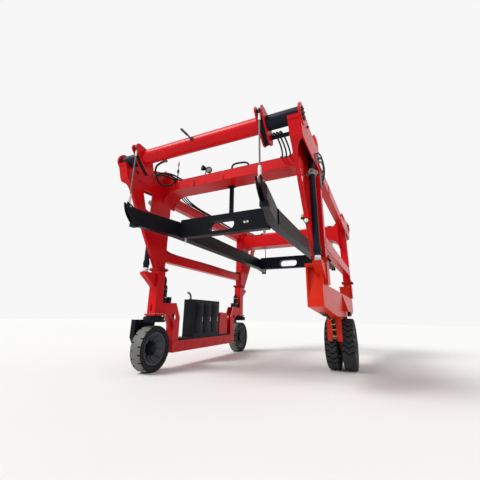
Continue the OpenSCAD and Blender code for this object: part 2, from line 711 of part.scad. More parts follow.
left_beam();
left_column_near();
left_column_far();
left_masts();
left_lift_rods();
power_pack_base();
engine_block();
power_pack_hood();
hydraulic_tank();
near_fork();
near_wheel_hub();
near_tyre();
far_fork();
far_wheel_hub();
far_tyre();
right_beam();
right_masts();
right_lift_rods();
wheel_hangers();
drive_hubs();
drive_tyres();
leg_near_left();
leg_near_right();
leg_far_left();
leg_far_right();
crossbeam_near();
crossbeam_far();
upper_side_beams();
lower_side_beams();
fixed_tubes();
lift_barrels();
shift_rods();
floodlights();
beacons();
sliding_tubes();
sling_saddles();
slings();
shift_barrels();
spreader_side_beams();
spreader_cross_beams();
lock_pins();
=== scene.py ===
"""Straddle carrier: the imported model's finishes, its small parts, and the studio round it."""
import math

import bpy
from bpy.props import FloatProperty, FloatVectorProperty, IntProperty, PointerProperty
from bpy.types import Operator, Panel, PropertyGroup
from mathutils import Matrix, Vector


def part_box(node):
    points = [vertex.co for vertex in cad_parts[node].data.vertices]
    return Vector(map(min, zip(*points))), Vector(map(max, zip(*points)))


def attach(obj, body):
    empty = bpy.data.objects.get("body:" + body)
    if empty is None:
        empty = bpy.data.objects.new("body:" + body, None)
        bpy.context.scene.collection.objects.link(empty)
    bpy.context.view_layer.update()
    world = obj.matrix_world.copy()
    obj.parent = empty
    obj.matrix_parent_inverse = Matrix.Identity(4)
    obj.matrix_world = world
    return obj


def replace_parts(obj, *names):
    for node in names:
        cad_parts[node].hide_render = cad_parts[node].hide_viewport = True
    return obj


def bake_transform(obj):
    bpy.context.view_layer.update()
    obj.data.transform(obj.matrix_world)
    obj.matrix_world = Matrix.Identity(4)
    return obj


bl_info = {
    "name": "Straddle carrier dressing",
    "version": (1, 0, 0),
    "blender": (4, 5, 0),
    "location": "3D view > Sidebar > Carrier",
    "description": "Finishes, hoses, bolts, lamps and tyres of a container straddle carrier",
    "category": "Object",
}

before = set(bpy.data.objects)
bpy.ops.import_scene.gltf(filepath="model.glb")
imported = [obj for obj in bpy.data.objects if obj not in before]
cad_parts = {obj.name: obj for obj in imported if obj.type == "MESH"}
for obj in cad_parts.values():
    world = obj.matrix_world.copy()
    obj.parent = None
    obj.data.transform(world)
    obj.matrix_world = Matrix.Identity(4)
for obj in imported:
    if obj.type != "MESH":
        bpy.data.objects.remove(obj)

# Sizes and heights in metres that small pieces are fitted to
MAST_D = 0.156
SLEEVE_WALL = 0.017
LEG_PLATE = 0.024
CROSSBEAM_TOP = 5.1905
CROSSBEAM_HALF = 0.276
COLUMN_FOOT = 1.4245
BARREL_TOP = 4.94
BARREL_FOOT = 2.7
TWIN_PITCH = 0.44
LOCK_PITCH = 5.853
ARM_X = 1.65
ARM_HALF = 0.0605

# Places in metres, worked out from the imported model
LEFT_LOW, LEFT_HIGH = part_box("left_masts")
RIGHT_LOW, RIGHT_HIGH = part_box("right_masts")
LEFT_X = (LEFT_LOW.x + LEFT_HIGH.x) / 2
RIGHT_X = (RIGHT_LOW.x + RIGHT_HIGH.x) / 2
MID_X = (LEFT_X + RIGHT_X) / 2
LEG_X = (RIGHT_X - LEFT_X) / 2
LEG_Y = LEFT_HIGH.y - MAST_D / 2
FLANGE_Z = LEFT_LOW.z
SLEEVE_W = LEFT_HIGH.x - LEFT_LOW.x + 2 * SLEEVE_WALL
WEB_X = LEG_X - SLEEVE_W / 2 - LEG_PLATE
HEAD_X = LEG_X + SLEEVE_W / 2
TUBE_LOW, TUBE_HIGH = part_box("fixed_tubes")
TUBE_Y = TUBE_HIGH.y - (TUBE_HIGH.z - TUBE_LOW.z) / 2
TUBE_Z = (TUBE_HIGH.z + TUBE_LOW.z) / 2
CYL_X = LEG_X + 0.018
CYL_Y = LEG_Y + 0.495

# Camera: pixels of the square photograph, then metres and radians in the machine's own frame
PHOTO_SIDE = 480
FOCAL_PIXELS = 284.845
CENTRE_ROW = 221.892
CAMERA_PLACE = (3.3667, -8.9763, 1.4381)
CAMERA_YAW = 0.4524
CAMERA_PITCH = 0.3152
CAMERA_ROLL = -0.0156

# Strength of the world where the camera, metal and glass look at it
BACKDROP_STRENGTH = 0.93

# Directions, and the sides and ends that pieces are repeated at
ORIGIN = Vector((0, 0, 0))
RIGHT = Vector((1, 0, 0))
FRONT = Vector((0, -1, 0))
UP = Vector((0, 0, 1))
CORNERS = [(side, end) for side in (-1, 1) for end in (-1, 1)]
BOTH_ENDS = [Matrix.Identity(4), Matrix.Diagonal((1, -1, 1, 1))]
SIDE_FRAMES = {"left_frame": -1, "right_frame": 1}
LEGS = {"leg_near_left": (-1, -1), "leg_near_right": (1, -1),
        "leg_far_left": (-1, 1), "leg_far_right": (1, 1)}


class Value:
    """A socket in a material's node tree; arithmetic on it adds Math nodes."""

    def __init__(self, finish, socket):
        self.finish, self.socket = finish, socket

    def _math(self, operation, first, second):
        return self.finish.node("ShaderNodeMath", {"operation": operation}, {0: first, 1: second})

    def __add__(self, other):
        return self._math("ADD", self, other)

    def __sub__(self, other):
        return self._math("SUBTRACT", self, other)

    def __rsub__(self, other):
        return self._math("SUBTRACT", other, self)

    def __mul__(self, other):
        return self._math("MULTIPLY", self, other)

    __radd__, __rmul__ = __add__, __mul__

    def above(self, edge, softness):
        """0 below the edge and 1 above it, with a soft step between."""
        return self.finish.node("ShaderNodeMapRange", {"interpolation_type": "SMOOTHSTEP"}, {
            "Value": self, "From Min": edge - softness, "From Max": edge + softness,
            "To Min": 0.0, "To Max": 1.0})


FINISHES = {}


class Finish:
    """One material, kept in FINISHES: a Principled shader and the nodes that feed it."""

    def __init__(self, name, metallic=0.0, coat=0.0):
        self.material = FINISHES[name] = bpy.data.materials.new(name)
        self.material.use_nodes = True
        self.nodes = self.material.node_tree.nodes
        self.links = self.material.node_tree.links
        self.shader = self.nodes["Principled BSDF"]
        self.shader.inputs["Metallic"].default_value = metallic
        self.shader.inputs["Coat Weight"].default_value = coat
        self.place = self.node("ShaderNodeTexCoord", {}, {}, "Object")

    def node(self, kind, settings, values, output=0):
        """Adds a node with its settings and its sockets' values or links."""
        made = self.nodes.new(kind)
        for key, setting in settings.items():
            setattr(made, key, setting)
        for key, value in values.items():
            if isinstance(value, Value):
                self.links.new(value.socket, made.inputs[key])
            else:
                made.inputs[key].default_value = value
        return Value(self, made.outputs[output])

    def noise(self, scale, detail=4.0, roughness=0.55, place=None):
        return self.node("ShaderNodeTexNoise", {}, {
            "Vector": place or self.place, "Scale": scale, "Detail": detail, "Roughness": roughness})

    def stretched(self, x, y, z):
        """The object's coordinates, scaled along each axis."""
        return self.node("ShaderNodeMapping", {}, {"Vector": self.place, "Scale": (x, y, z)})

    def height(self):
        return self.node("ShaderNodeSeparateXYZ", {}, {0: self.place}, "Z")

    def facing_up(self):
        normal = self.node("ShaderNodeNewGeometry", {}, {}, "Normal")
        return self.node("ShaderNodeSeparateXYZ", {}, {0: normal}, "Z")

    def mixed(self, share, first, second):
        """Two colours, mixed by a share from 0 to 1."""
        colours = {"A": first, "B": second}
        made = self.nodes.new("ShaderNodeMix")
        made.data_type = "RGBA"
        self.links.new(share.socket, made.inputs["Factor"])
        for socket in made.inputs:
            if socket.name in colours and socket.type == "RGBA":
                value = colours[socket.name]
                if isinstance(value, Value):
                    self.links.new(value.socket, socket)
                else:
                    socket.default_value = (*value, 1.0)
        return Value(self, next(s for s in made.outputs if s.type == "RGBA"))

    def feed(self, socket, value):
        if isinstance(value, Value):
            self.links.new(value.socket, self.shader.inputs[socket])
        else:
            self.shader.inputs[socket].default_value = value

    def bump(self, height, strength, distance):
        self.feed("Normal", self.node("ShaderNodeBump", {}, {
            "Height": height, "Strength": strength, "Distance": distance}, "Normal"))


def enamel(name, colour, faded, dust, gloss, dust_share=0.12, coat=0.03, sheen=0.14):
    """Machine enamel: fading, dust on what faces up, run-off streaks, stone chips."""
    finish = Finish(name, coat=coat)
    finish.shader.inputs["Specular IOR Level"].default_value = sheen
    patches = finish.noise(0.9, 3.0).above(0.52, 0.2)
    base = finish.mixed(patches, colour, faded)
    streaks = finish.noise(6.0, 5.0, 0.6, finish.stretched(1.0, 1.0, 0.09)).above(0.62, 0.12)
    base = finish.mixed(streaks * 0.28, base, [c * 0.5 for c in colour])
    settled = finish.facing_up().above(0.8, 0.15) * finish.noise(3.0, 5.0).above(0.45, 0.25)
    low = 1.0 - finish.height().above(0.9, 0.8)
    splash = low * finish.noise(4.5, 6.0, 0.65).above(0.52, 0.16)
    dirt = settled * dust_share + splash * dust_share
    base = finish.mixed(dirt, base, dust)
    chips = finish.noise(42.0, 2.0).above(0.765, 0.012)
    base = finish.mixed(chips * 0.8, base, (0.05, 0.03, 0.03))
    finish.feed("Base Color", base)
    finish.feed("Roughness", finish.noise(11.0, 4.0) * 0.14 + gloss + dirt * 0.35)
    finish.bump(finish.noise(120.0, 2.0) * 0.4 + chips * -1.0, 0.05, 0.002)


def rubber(name, colour, dust, dust_share, grain=0.2):
    """Tyre rubber: fine moulding grain under an even film of dust, with a few scuffs."""
    finish = Finish(name)
    finish.shader.inputs["Specular IOR Level"].default_value = 0.25
    film = finish.noise(2.2, 5.0, 0.6).above(0.5, 0.3)
    scuffs = finish.noise(34.0, 4.0).above(0.66, 0.06)
    base = finish.mixed(film * dust_share, colour, dust)
    finish.feed("Base Color", finish.mixed(scuffs * 0.3, base, [c * 0.55 for c in colour]))
    finish.feed("Roughness", finish.noise(20.0) * 0.16 + 0.76)
    finish.bump(finish.noise(160.0, 4.0) + scuffs * 0.4, grain, 0.0015)


def bare_metal(name, colour, dark, roughness, streak=(1.0, 1.0, 14.0), metallic=1.0):
    """Bare or plated metal with fine streaks along its length."""
    finish = Finish(name, metallic=metallic)
    grain = finish.noise(60.0, 4.0, 0.6, finish.stretched(*streak))
    stains = finish.noise(4.0, 5.0).above(0.55, 0.15)
    finish.feed("Base Color", finish.mixed(stains * 0.6, colour, dark))
    finish.feed("Roughness", grain * 0.18 + roughness + stains * 0.12)
    finish.bump(grain, 0.08, 0.001)


def wire_rope(name, colour, dark):
    """Laid steel rope: strands that turn round the rope, darker between them."""
    finish = Finish(name, metallic=0.75)
    lay = finish.node("ShaderNodeTexWave", {"bands_direction": "DIAGONAL"}, {
        "Vector": finish.stretched(1.0, 1.0, 0.55), "Scale": 26.0, "Distortion": 0.4}, "Fac")
    finish.feed("Base Color", finish.mixed(lay.above(0.35, 0.25), dark, colour))
    finish.feed("Roughness", 0.62 - lay * 0.18)
    finish.bump(lay, 0.6, 0.004)


def moulded(name, colour, roughness):
    """Moulded rubber or plastic: fine grain and a little dust."""
    finish = Finish(name)
    finish.shader.inputs["Specular IOR Level"].default_value = 0.2
    dust = finish.noise(14.0, 5.0).above(0.58, 0.14)
    finish.feed("Base Color", finish.mixed(dust * 0.2, colour, (0.07, 0.068, 0.066)))
    finish.feed("Roughness", finish.noise(50.0) * 0.16 + roughness)
    finish.bump(finish.noise(380.0, 2.0), 0.1, 0.0006)


def lens(name, colour, ribs):
    """A lamp's coloured or clear lens with moulded prism ribs, which are painted lighter as a painted
    highlight.
    """
    finish = Finish(name, coat=0.6)
    prism = finish.node("ShaderNodeTexWave", {}, {"Vector": finish.place, "Scale": ribs}, "Fac")
    # Lighter colour on the prism ribs: painted highlight
    bright = [min(1.0, c * 1.5 + 0.05) for c in colour]
    finish.feed("Base Color", finish.mixed(prism * 0.5, colour, bright))
    finish.feed("Roughness", finish.noise(30.0) * 0.1 + 0.12)
    finish.bump(prism, 0.4, 0.002)


def shaded(colour, share):
    return [c * share for c in colour]


def make_finishes(chosen):
    """Makes every finish; the machine enamels start from the chosen colours."""
    red, orange, black = chosen.red, chosen.orange, chosen.black
    dust, dark_dust = (0.36, 0.32, 0.29), (0.07, 0.072, 0.075)
    faded_black = [c * 1.5 + 0.001 for c in black]
    plain = (3.0, 3.0, 3.0)
    enamel("red_enamel", red, shaded(red, 1.12), dust, 0.24)
    # Darker copy of the red enamel: painted shade, used on the masts inside the leg sleeves, the crossbeam
    # ribs and the side-beam joint plates
    enamel("red_enamel_painted_shade", shaded(red, 0.72), shaded(red, 0.86), dust, 0.3)
    enamel("orange_enamel", orange, shaded(orange, 0.86), dust, 0.28)
    enamel("black_enamel", black, faded_black, dark_dust, 0.34, 0.16, 0.0, 0.1)
    enamel("navy_enamel", (0.006, 0.009, 0.017), (0.01, 0.013, 0.022), (0.05, 0.052, 0.058),
           0.28, 0.06, 0.02, 0.1)
    rubber("tyre_tread", (0.12, 0.122, 0.116), (0.21, 0.21, 0.2), 0.85)
    rubber("tyre_side", (0.012, 0.0125, 0.013), (0.035, 0.034, 0.033), 0.45)
    rubber("tyre_lug", (0.028, 0.03, 0.033), (0.062, 0.062, 0.062), 0.5)
    # Near-black rubber for the faces below the tread's skin: painted shade in the notches and grooves
    rubber("tyre_groove_painted_shade", (0.004, 0.004, 0.0045), (0.012, 0.012, 0.012), 0.4, 0.1)
    bare_metal("chrome_rod", (0.72, 0.73, 0.75), (0.5, 0.5, 0.5), 0.08)
    bare_metal("steel", (0.5, 0.5, 0.5), (0.27, 0.25, 0.23), 0.34)
    bare_metal("white_steel", (0.78, 0.76, 0.72), (0.5, 0.49, 0.46), 0.4, (1.0, 1.0, 6.0), 0.15)
    bare_metal("brass", (0.62, 0.45, 0.2), (0.3, 0.22, 0.12), 0.3)
    bare_metal("cast_grey", (0.2, 0.2, 0.2), (0.09, 0.09, 0.09), 0.5, plain, 0.3)
    bare_metal("zinc_grey", (0.3, 0.29, 0.26), (0.16, 0.155, 0.14), 0.45, plain, 0.2)
    wire_rope("rope", (0.2, 0.2, 0.2), (0.05, 0.05, 0.05))
    moulded("hose_rubber", (0.006, 0.006, 0.007), 0.42)
    moulded("black_plastic", (0.008, 0.008, 0.009), 0.45)
    moulded("yellow_plastic", (0.72, 0.55, 0.12), 0.4)
    enamel("rim_grey", (0.052, 0.066, 0.085), (0.07, 0.084, 0.1), dust, 0.36, 0.12, 0.05, 0.2)
    lens("amber_lens", (0.9, 0.34, 0.02), 60.0)
    lens("red_lens", (0.4, 0.006, 0.012), 50.0)
    lens("lamp_glass", (0.2, 0.21, 0.23), 45.0)


CAD_FINISHES = {
    "red_enamel": "left_beam left_column_near left_column_far leg_near_left leg_near_right leg_far_left "
                  "leg_far_right crossbeam_near crossbeam_far upper_side_beams lower_side_beams "
                  "sliding_tubes hydraulic_tank",
    # The masts inside the leg sleeves take the darker red: painted shade
    "red_enamel_painted_shade": "left_masts right_masts",
    "orange_enamel": "right_beam wheel_hangers",
    "black_enamel": "power_pack_base power_pack_hood near_fork far_fork sling_saddles "
                    "spreader_side_beams spreader_cross_beams",
    "navy_enamel": "fixed_tubes lift_barrels shift_barrels near_wheel_hub far_wheel_hub",
    "rim_grey": "drive_hubs",
    "cast_grey": "engine_block",
    "tyre_side": "near_tyre far_tyre drive_tyres",
    "chrome_rod": "left_lift_rods right_lift_rods shift_rods",
    "steel": "lock_pins",
    "rope": "slings",
    "black_plastic": "floodlights",
    "amber_lens": "beacons",
}


def at(x, y, z):
    """A point of the machine, whose legs stand evenly about its middle."""
    return Vector((x + MID_X, y, z))


def select_only(*pieces):
    bpy.ops.object.select_all(action="DESELECT")
    for piece in pieces:
        piece.select_set(True)
    bpy.context.view_layer.objects.active = pieces[0]


def freeze(piece):
    """Applies the piece's place, turn and size to its mesh."""
    select_only(piece)
    bpy.ops.object.transform_apply(location=True, rotation=True, scale=True)
    return piece


def soften(piece, width):
    """Rounds the piece's sharp edges with an applied bevel."""
    select_only(piece)
    modifier = piece.modifiers.new("soften", "BEVEL")
    modifier.width, modifier.segments = width, 2
    modifier.limit_method, modifier.angle_limit = "ANGLE", 0.6
    bpy.ops.object.modifier_apply(modifier=modifier.name)
    bpy.ops.object.shade_smooth_by_angle(angle=0.7)
    return piece


def block(first, second, edge=0.004):
    """A block between two opposite corners with rounded edges."""
    bpy.ops.object.select_all(action="DESELECT")
    size = [abs(b - a) for a, b in zip(first, second)]
    bpy.ops.mesh.primitive_cube_add(size=1, location=[(a + b) / 2 for a, b in zip(first, second)])
    piece = bpy.context.object
    piece.scale = size
    freeze(piece)
    return soften(piece, min(edge, min(size) * 0.3))


def shift_move(x=0.0, y=0.0, z=0.0):
    return Matrix.Translation((x, y, z))


def aimed(start, direction):
    """A move from the origin to a start that turns the Z axis to a direction."""
    return Matrix.Translation(start) @ Vector(direction).to_track_quat("Z", "Y").to_matrix().to_4x4()


def begin_circle(radius, steps, fill):
    """A new circle, selected in edit mode, from which a turned part is drawn out."""
    bpy.ops.object.select_all(action="DESELECT")
    bpy.ops.mesh.primitive_circle_add(vertices=steps, radius=radius, fill_type=fill)
    bpy.ops.object.mode_set(mode="EDIT")
    bpy.ops.mesh.select_all(action="SELECT")
    return bpy.context.object


def end_turned(piece, rise, start, direction, angle):
    """Turns the faces outwards and sets the part on its start, raised along its axis."""
    bpy.ops.mesh.select_all(action="SELECT")
    bpy.ops.mesh.normals_make_consistent(inside=False)
    bpy.ops.object.mode_set(mode="OBJECT")
    piece.matrix_world = aimed(start, direction) @ shift_move(z=rise)
    freeze(piece)
    bpy.ops.object.shade_smooth_by_angle(angle=angle)
    return piece


def turned(profile, start, direction, steps=32):
    """A turned part: pairs of (distance from start along the axis, radius)."""
    least = 1e-4
    piece = begin_circle(max(profile[0][1], least), steps, "NGON")
    for (z0, r0), (z1, r1) in zip(profile, profile[1:]):
        bpy.ops.mesh.extrude_region_move(TRANSFORM_OT_translate={"value": (0, 0, z1 - z0)})
        ratio = max(r1, least) / max(r0, least)
        bpy.ops.transform.resize(value=(ratio, ratio, 1), center_override=(0, 0, z1))
    return end_turned(piece, profile[0][0], start, direction, 0.6)


def ring(profile, start, direction, steps=48, angle=0.6):
    """A turned ring: a closed profile of (distance from start, radius) and perhaps a twist in degrees."""
    closed = [(*point, 0)[:3] for point in (*profile, profile[0])]
    rise = closed[0][0]
    piece = begin_circle(closed[0][1], steps, "NOTHING")
    for (z0, r0, twist0), (z1, r1, twist1) in zip(closed, closed[1:]):
        centre = (0, 0, z1 - rise)
        bpy.ops.mesh.extrude_edges_move(TRANSFORM_OT_translate={"value": (0, 0, z1 - z0)})
        bpy.ops.transform.resize(value=(r1 / r0, r1 / r0, 1), center_override=centre)
        if twist1 != twist0:
            bpy.ops.transform.rotate(value=math.radians(twist1 - twist0), orient_axis="Z",
                                     center_override=centre)
    bpy.ops.mesh.select_all(action="SELECT")
    bpy.ops.mesh.remove_doubles(threshold=1e-5)
    return end_turned(piece, rise, start, direction, angle)


def plate(outline, normal_axis, place, thickness, edge=0.003):
    """A plate cut to an outline in the plane across an axis; it grows from place along that axis."""
    curve = bpy.data.curves.new("plate", "CURVE")
    curve.dimensions = "2D"
    curve.fill_mode = "BOTH"
    curve.extrude = max(thickness / 2 - edge, 1e-4)
    curve.bevel_depth = edge
    curve.bevel_resolution = 0
    curve.offset = -edge
    spline = curve.splines.new("POLY")
    spline.points.add(len(outline) - 1)
    for point, (a, b) in zip(spline.points, outline):
        point.co = (a, b, 0, 1)
    spline.use_cyclic_u = True
    piece = bpy.data.objects.new("plate", curve)
    bpy.context.collection.objects.link(piece)
    middle = place + thickness / 2
    turns = {
        "X": Matrix(((0, 0, 1, middle), (1, 0, 0, 0), (0, 1, 0, 0), (0, 0, 0, 1))),
        "Y": Matrix(((1, 0, 0, 0), (0, 0, -1, middle), (0, 1, 0, 0), (0, 0, 0, 1))),
    }
    piece.matrix_world = turns[normal_axis]
    select_only(piece)
    bpy.ops.object.convert(target="MESH")
    piece = bpy.context.object
    return freeze(piece)


def hose(points, radius, sides=10):
    """A hose or bar along smooth points."""
    curve = bpy.data.curves.new("hose", "CURVE")
    curve.dimensions = "3D"
    curve.bevel_depth = radius
    curve.bevel_resolution = max(1, sides // 4 - 1)
    curve.resolution_u = 8
    curve.use_fill_caps = True
    spline = curve.splines.new("BEZIER")
    spline.bezier_points.add(len(points) - 1)
    for knot, point in zip(spline.bezier_points, points):
        knot.co = point
        knot.handle_left_type = knot.handle_right_type = "AUTO"
    piece = bpy.data.objects.new("hose", curve)
    bpy.context.collection.objects.link(piece)
    select_only(piece)
    bpy.ops.object.convert(target="MESH")
    piece = bpy.context.object
    bpy.ops.object.shade_smooth_by_angle(angle=0.9)
    return piece


def seam(points, radius=0.006):
    """A weld bead or folded edge along smooth points."""
    return hose(points, radius, 6)


def copies(piece, moves):
    """The piece's copies at each move, with the piece itself taken away."""
    made = []
    for move in moves:
        copy = bpy.data.objects.new(piece.name, piece.data.copy())
        bpy.context.collection.objects.link(copy)
        copy.data.transform(move)
        if move.determinant() < 0:
            copy.data.flip_normals()
        made.append(copy)
    bpy.data.objects.remove(piece)
    return made


def gather(pieces, name, finish, body):
    """Joins pieces into one object of one finish and hangs it on a body; for a pair of bodies, given as
    (first, last, start, end), it only fixes the pieces' place in the mesh.
    """
    select_only(*pieces)
    if len(pieces) > 1:
        bpy.ops.object.join()
    whole = bpy.context.object
    whole.name = name
    whole.data.name = name
    whole.data.materials.clear()
    whole.data.materials.append(FINISHES[finish])
    if isinstance(body, str):
        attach(whole, body)
    else:
        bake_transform(whole)
    return whole


def corner_moves():
    """Moves that set a far-right piece at all four corners of the machine."""
    to_middle, back = shift_move(-MID_X), shift_move(MID_X)
    return {corner: back @ Matrix.Diagonal((*corner, 1, 1)) @ to_middle for corner in CORNERS}


def all_corners():
    return list(corner_moves().values())


def ends(side):
    """Moves to the near and far corners of one side."""
    moves = corner_moves()
    return [moves[(side, -1)], moves[(side, 1)]]


def mirrored(pieces, moves):
    """Every piece's copies at every move."""
    return [copy for piece in pieces for copy in copies(piece, moves)]


def bolt(radius, start, direction, height_share=1.4):
    """Hexagon bolt head on its washer; its height is a share of its radius."""
    height, direction = radius * height_share, Vector(direction)
    head = turned([(0, radius * 1.5), (height * 0.25, radius * 1.5)], start, direction, 16)
    hexagon = turned([(0, radius * 1.1), (height * 0.85, radius * 1.1), (height, radius * 0.9)],
                     Vector(start) + direction * height * 0.22, direction, 6)
    select_only(head, hexagon)
    bpy.ops.object.join()
    return bpy.context.object


def bolt_ring(count, radius, size, start, direction):
    """Bolt heads evenly round a circle about the start, across a direction."""
    place = aimed(start, direction)
    turns = [Matrix.Rotation(math.tau * k / count, 4, "Z") for k in range(count)]
    return copies(bolt(size, ORIGIN, UP), [place @ turn @ shift_move(radius) for turn in turns])


def bolt_head(size, start, direction):
    """A single bolt head, turned as those of a bolt ring are."""
    return bolt_ring(1, 0, size, start, direction)[0]


def press_in(piece, chosen, depth):
    """Pushes the chosen faces in along their normals; chosen tests a face."""
    select_only(piece)
    bpy.ops.object.mode_set(mode="EDIT")
    bpy.ops.mesh.select_mode(type="FACE")
    bpy.ops.mesh.select_all(action="DESELECT")
    bpy.ops.object.mode_set(mode="OBJECT")
    for face in piece.data.polygons:
        face.select = chosen(face)
    bpy.ops.object.mode_set(mode="EDIT")
    bpy.ops.mesh.extrude_region_shrink_fatten(TRANSFORM_OT_shrink_fatten={"value": -depth})
    bpy.ops.object.mode_set(mode="OBJECT")
    bpy.ops.object.shade_smooth_by_angle(angle=0.5)
    return piece


def middle_of(node):
    low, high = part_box(node)
    return (low + high) / 2


class CarrierColours(PropertyGroup):
    red: FloatVectorProperty(name="Red enamel", description="Colour of the gantry and left frame",
                             subtype="COLOR", size=3, default=(0.56, 0.0025, 0.006), min=0, max=1)
    orange: FloatVectorProperty(name="Orange-red enamel", description="Colour of the right frame",
                                subtype="COLOR", size=3, default=(0.66, 0.019, 0.003), min=0, max=1)
    black: FloatVectorProperty(name="Black enamel", description="Colour of the spreader and the forks",
                               subtype="COLOR", size=3, default=(0.0035, 0.0048, 0.0075), min=0, max=1)


class CarrierSizes(PropertyGroup):
    hose_thickness: FloatProperty(name="Hose thickness", description="Share of the hoses' real thickness",
                                  default=1.0, min=0.5, max=1.3, subtype="FACTOR")
    flange_bolts: IntProperty(name="Flange bolts", description="Bolts along each side of a leg's flange",
                              default=4, min=2, max=6)
    bolt_radius: FloatProperty(name="Bolt radius", description="Radius of the flange bolts' shanks",
                               default=0.017, min=0.006, max=0.02, unit="LENGTH")


class CarrierStudio(PropertyGroup):
    floor: FloatVectorProperty(name="Floor", description="Colour of the floor",
                               subtype="COLOR", size=3, default=(0.8, 0.8, 0.79), min=0, max=1)
    fill: FloatProperty(name="Fill light", description="Strength of the even light from all round",
                        default=0.62, min=0, max=3)
    sun: FloatProperty(name="Key light", description="Strength of the soft key light",
                       default=2.5, min=0, max=10)


def sizes():
    return bpy.context.scene.carrier_sizes


def stand_camera(context):
    """The camera at the photograph's viewpoint, with its frame and its shift."""
    yaw, pitch, roll = CAMERA_YAW, CAMERA_PITCH, CAMERA_ROLL
    forward = Vector((-math.sin(yaw) * math.cos(pitch), math.cos(yaw) * math.cos(pitch), math.sin(pitch)))
    across = Vector((math.cos(yaw), math.sin(yaw), 0))
    above = across.cross(forward)
    right = across * math.cos(roll) - above * math.sin(roll)
    up = across * math.sin(roll) + above * math.cos(roll)
    data = bpy.data.cameras.new("camera")
    data.sensor_width = 36
    data.lens = FOCAL_PIXELS / PHOTO_SIDE * data.sensor_width
    data.shift_y = (CENTRE_ROW - PHOTO_SIDE / 2) / PHOTO_SIDE
    data.clip_end = 200
    camera = bpy.data.objects.new("camera", data)
    context.collection.objects.link(camera)
    turn = Matrix((right, up, -forward)).transposed().to_4x4()
    camera.matrix_world = Matrix.Translation(at(*CAMERA_PLACE)) @ turn
    context.scene.camera = camera


def lay_floor(context, colour):
    bpy.ops.object.select_all(action="DESELECT")
    bpy.ops.mesh.primitive_plane_add(size=120)
    floor = context.object
    floor.name = "floor"
    ground = Finish("floor")
    ground.feed("Base Color", ground.mixed(ground.noise(0.6, 3.0), list(colour), shaded(colour, 0.97)))
    ground.feed("Roughness", 0.9)
    floor.data.materials.append(ground.material)


def light_world(context, fill):
    """Even light of the fill's strength, which the camera, metal and glass see as a pale backdrop."""
    world = bpy.data.worlds.new("studio")
    context.scene.world = world
    world.use_nodes = True
    nodes, links = world.node_tree.nodes, world.node_tree.links
    background = nodes["Background"]
    path = nodes.new("ShaderNodeLightPath")
    shown = path.outputs["Is Camera Ray"]
    for ray in ("Is Glossy Ray", "Is Transmission Ray"):
        either = nodes.new("ShaderNodeMath")
        either.operation = "MAXIMUM"
        links.new(shown, either.inputs[0])
        links.new(path.outputs[ray], either.inputs[1])
        shown = either.outputs[0]
    strength = nodes.new("ShaderNodeMapRange")
    links.new(shown, strength.inputs["Value"])
    strength.inputs["To Min"].default_value = fill
    strength.inputs["To Max"].default_value = BACKDROP_STRENGTH
    links.new(strength.outputs[0], background.inputs["Strength"])
    background.inputs["Color"].default_value = (1, 1, 1, 1)


def hang_key_light(context, energy):
    sun = bpy.data.lights.new("key", "SUN")
    sun.energy, sun.angle = energy, math.radians(25)
    lamp = bpy.data.objects.new("key", sun)
    lamp.rotation_euler = (math.radians(38), math.radians(-18), math.radians(-20))
    context.collection.objects.link(lamp)


class CARRIER_OT_studio(Operator):
    """Sets the camera, the pale floor and the soft light"""
    bl_idname = "carrier.studio"
    bl_label = "Studio"

    def execute(self, context):
        studio = context.scene.carrier_studio
        context.scene.view_settings.view_transform = "Standard"
        stand_camera(context)
        lay_floor(context, studio.floor)
        light_world(context, studio.fill)
        hang_key_light(context, studio.sun)
        return {"FINISHED"}


class CARRIER_OT_finishes(Operator):
    """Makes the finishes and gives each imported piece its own"""
    bl_idname = "carrier.finishes"
    bl_label = "Finishes"

    def execute(self, context):
        make_finishes(context.scene.carrier_colours)
        for finish, nodes in CAD_FINISHES.items():
            for node in nodes.split():
                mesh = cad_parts[node].data
                mesh.materials.clear()
                mesh.materials.append(FINISHES[finish])
        return {"FINISHED"}


class CARRIER_OT_solid_tyres(Operator):
    """Makes the steered wheels' solid tyres with notched shoulders"""
    bl_idname = "carrier.solid_tyres"
    bl_label = "Solid tyres"

    def execute(self, context):
        for node, body in (("near_tyre", "near_wheel"), ("far_tyre", "far_wheel")):
            low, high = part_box(node)
            middle, width, outer = (low + high) / 2, high.x - low.x, (high.z - low.z) / 2
            half, bead, notches, steps = width / 2, 0.41, 18, 6
            profile = [(-half + 0.045, bead + 0.0005), (-half + 0.012, bead + 0.02),
                       (-half + 0.002, bead + 0.06), (-half, outer - 0.09), (-half + 0.003, outer - 0.03),
                       (-half + 0.012, outer - 0.007), (-half + 0.028, outer - 0.001), (-half + 0.096, outer)]
            profile += [(-x, r) for x, r in reversed(profile)]
            tyre = ring(profile, middle, RIGHT, steps=notches * steps, angle=0.5)

            def in_notch(face):
                spot = face.center - middle
                angle = math.degrees(math.atan2(spot.z, spot.y)) % 360
                slot = int(angle / (360 / (notches * steps)))
                side = 0 if spot.x < 0 else steps // 2
                at_shoulder = abs(spot.x) > half - 0.09 and spot.yz.length > outer - 0.022
                return slot % steps == side and at_shoulder

            press_in(tyre, in_notch, 0.034)
            name = node.replace("tyre", "solid_tyre")
            gather([tyre], name, "tyre_tread", body)
            shade_tyre(tyre, middle, outer, 0.007)
            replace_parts(tyre, node)
        return {"FINISHED"}


def shade_tyre(tyre, middle, outer, skin):
    """Gives a tyre's walls the darker rubber, and what lies below the tread's skin the darkest rubber, which
    is painted shade in the notches and grooves.
    """
    for finish in ("tyre_side", "tyre_groove_painted_shade"):
        tyre.data.materials.append(FINISHES[finish])
    for face in tyre.data.polygons:
        spot = face.center - middle
        depth = outer - spot.yz.length
        if abs(face.normal.x) > 0.8 or depth > 0.06:
            face.material_index = 1
        elif depth > skin + 0.004:
            # Faces sunk below the tread's skin: painted shade
            face.material_index = 2


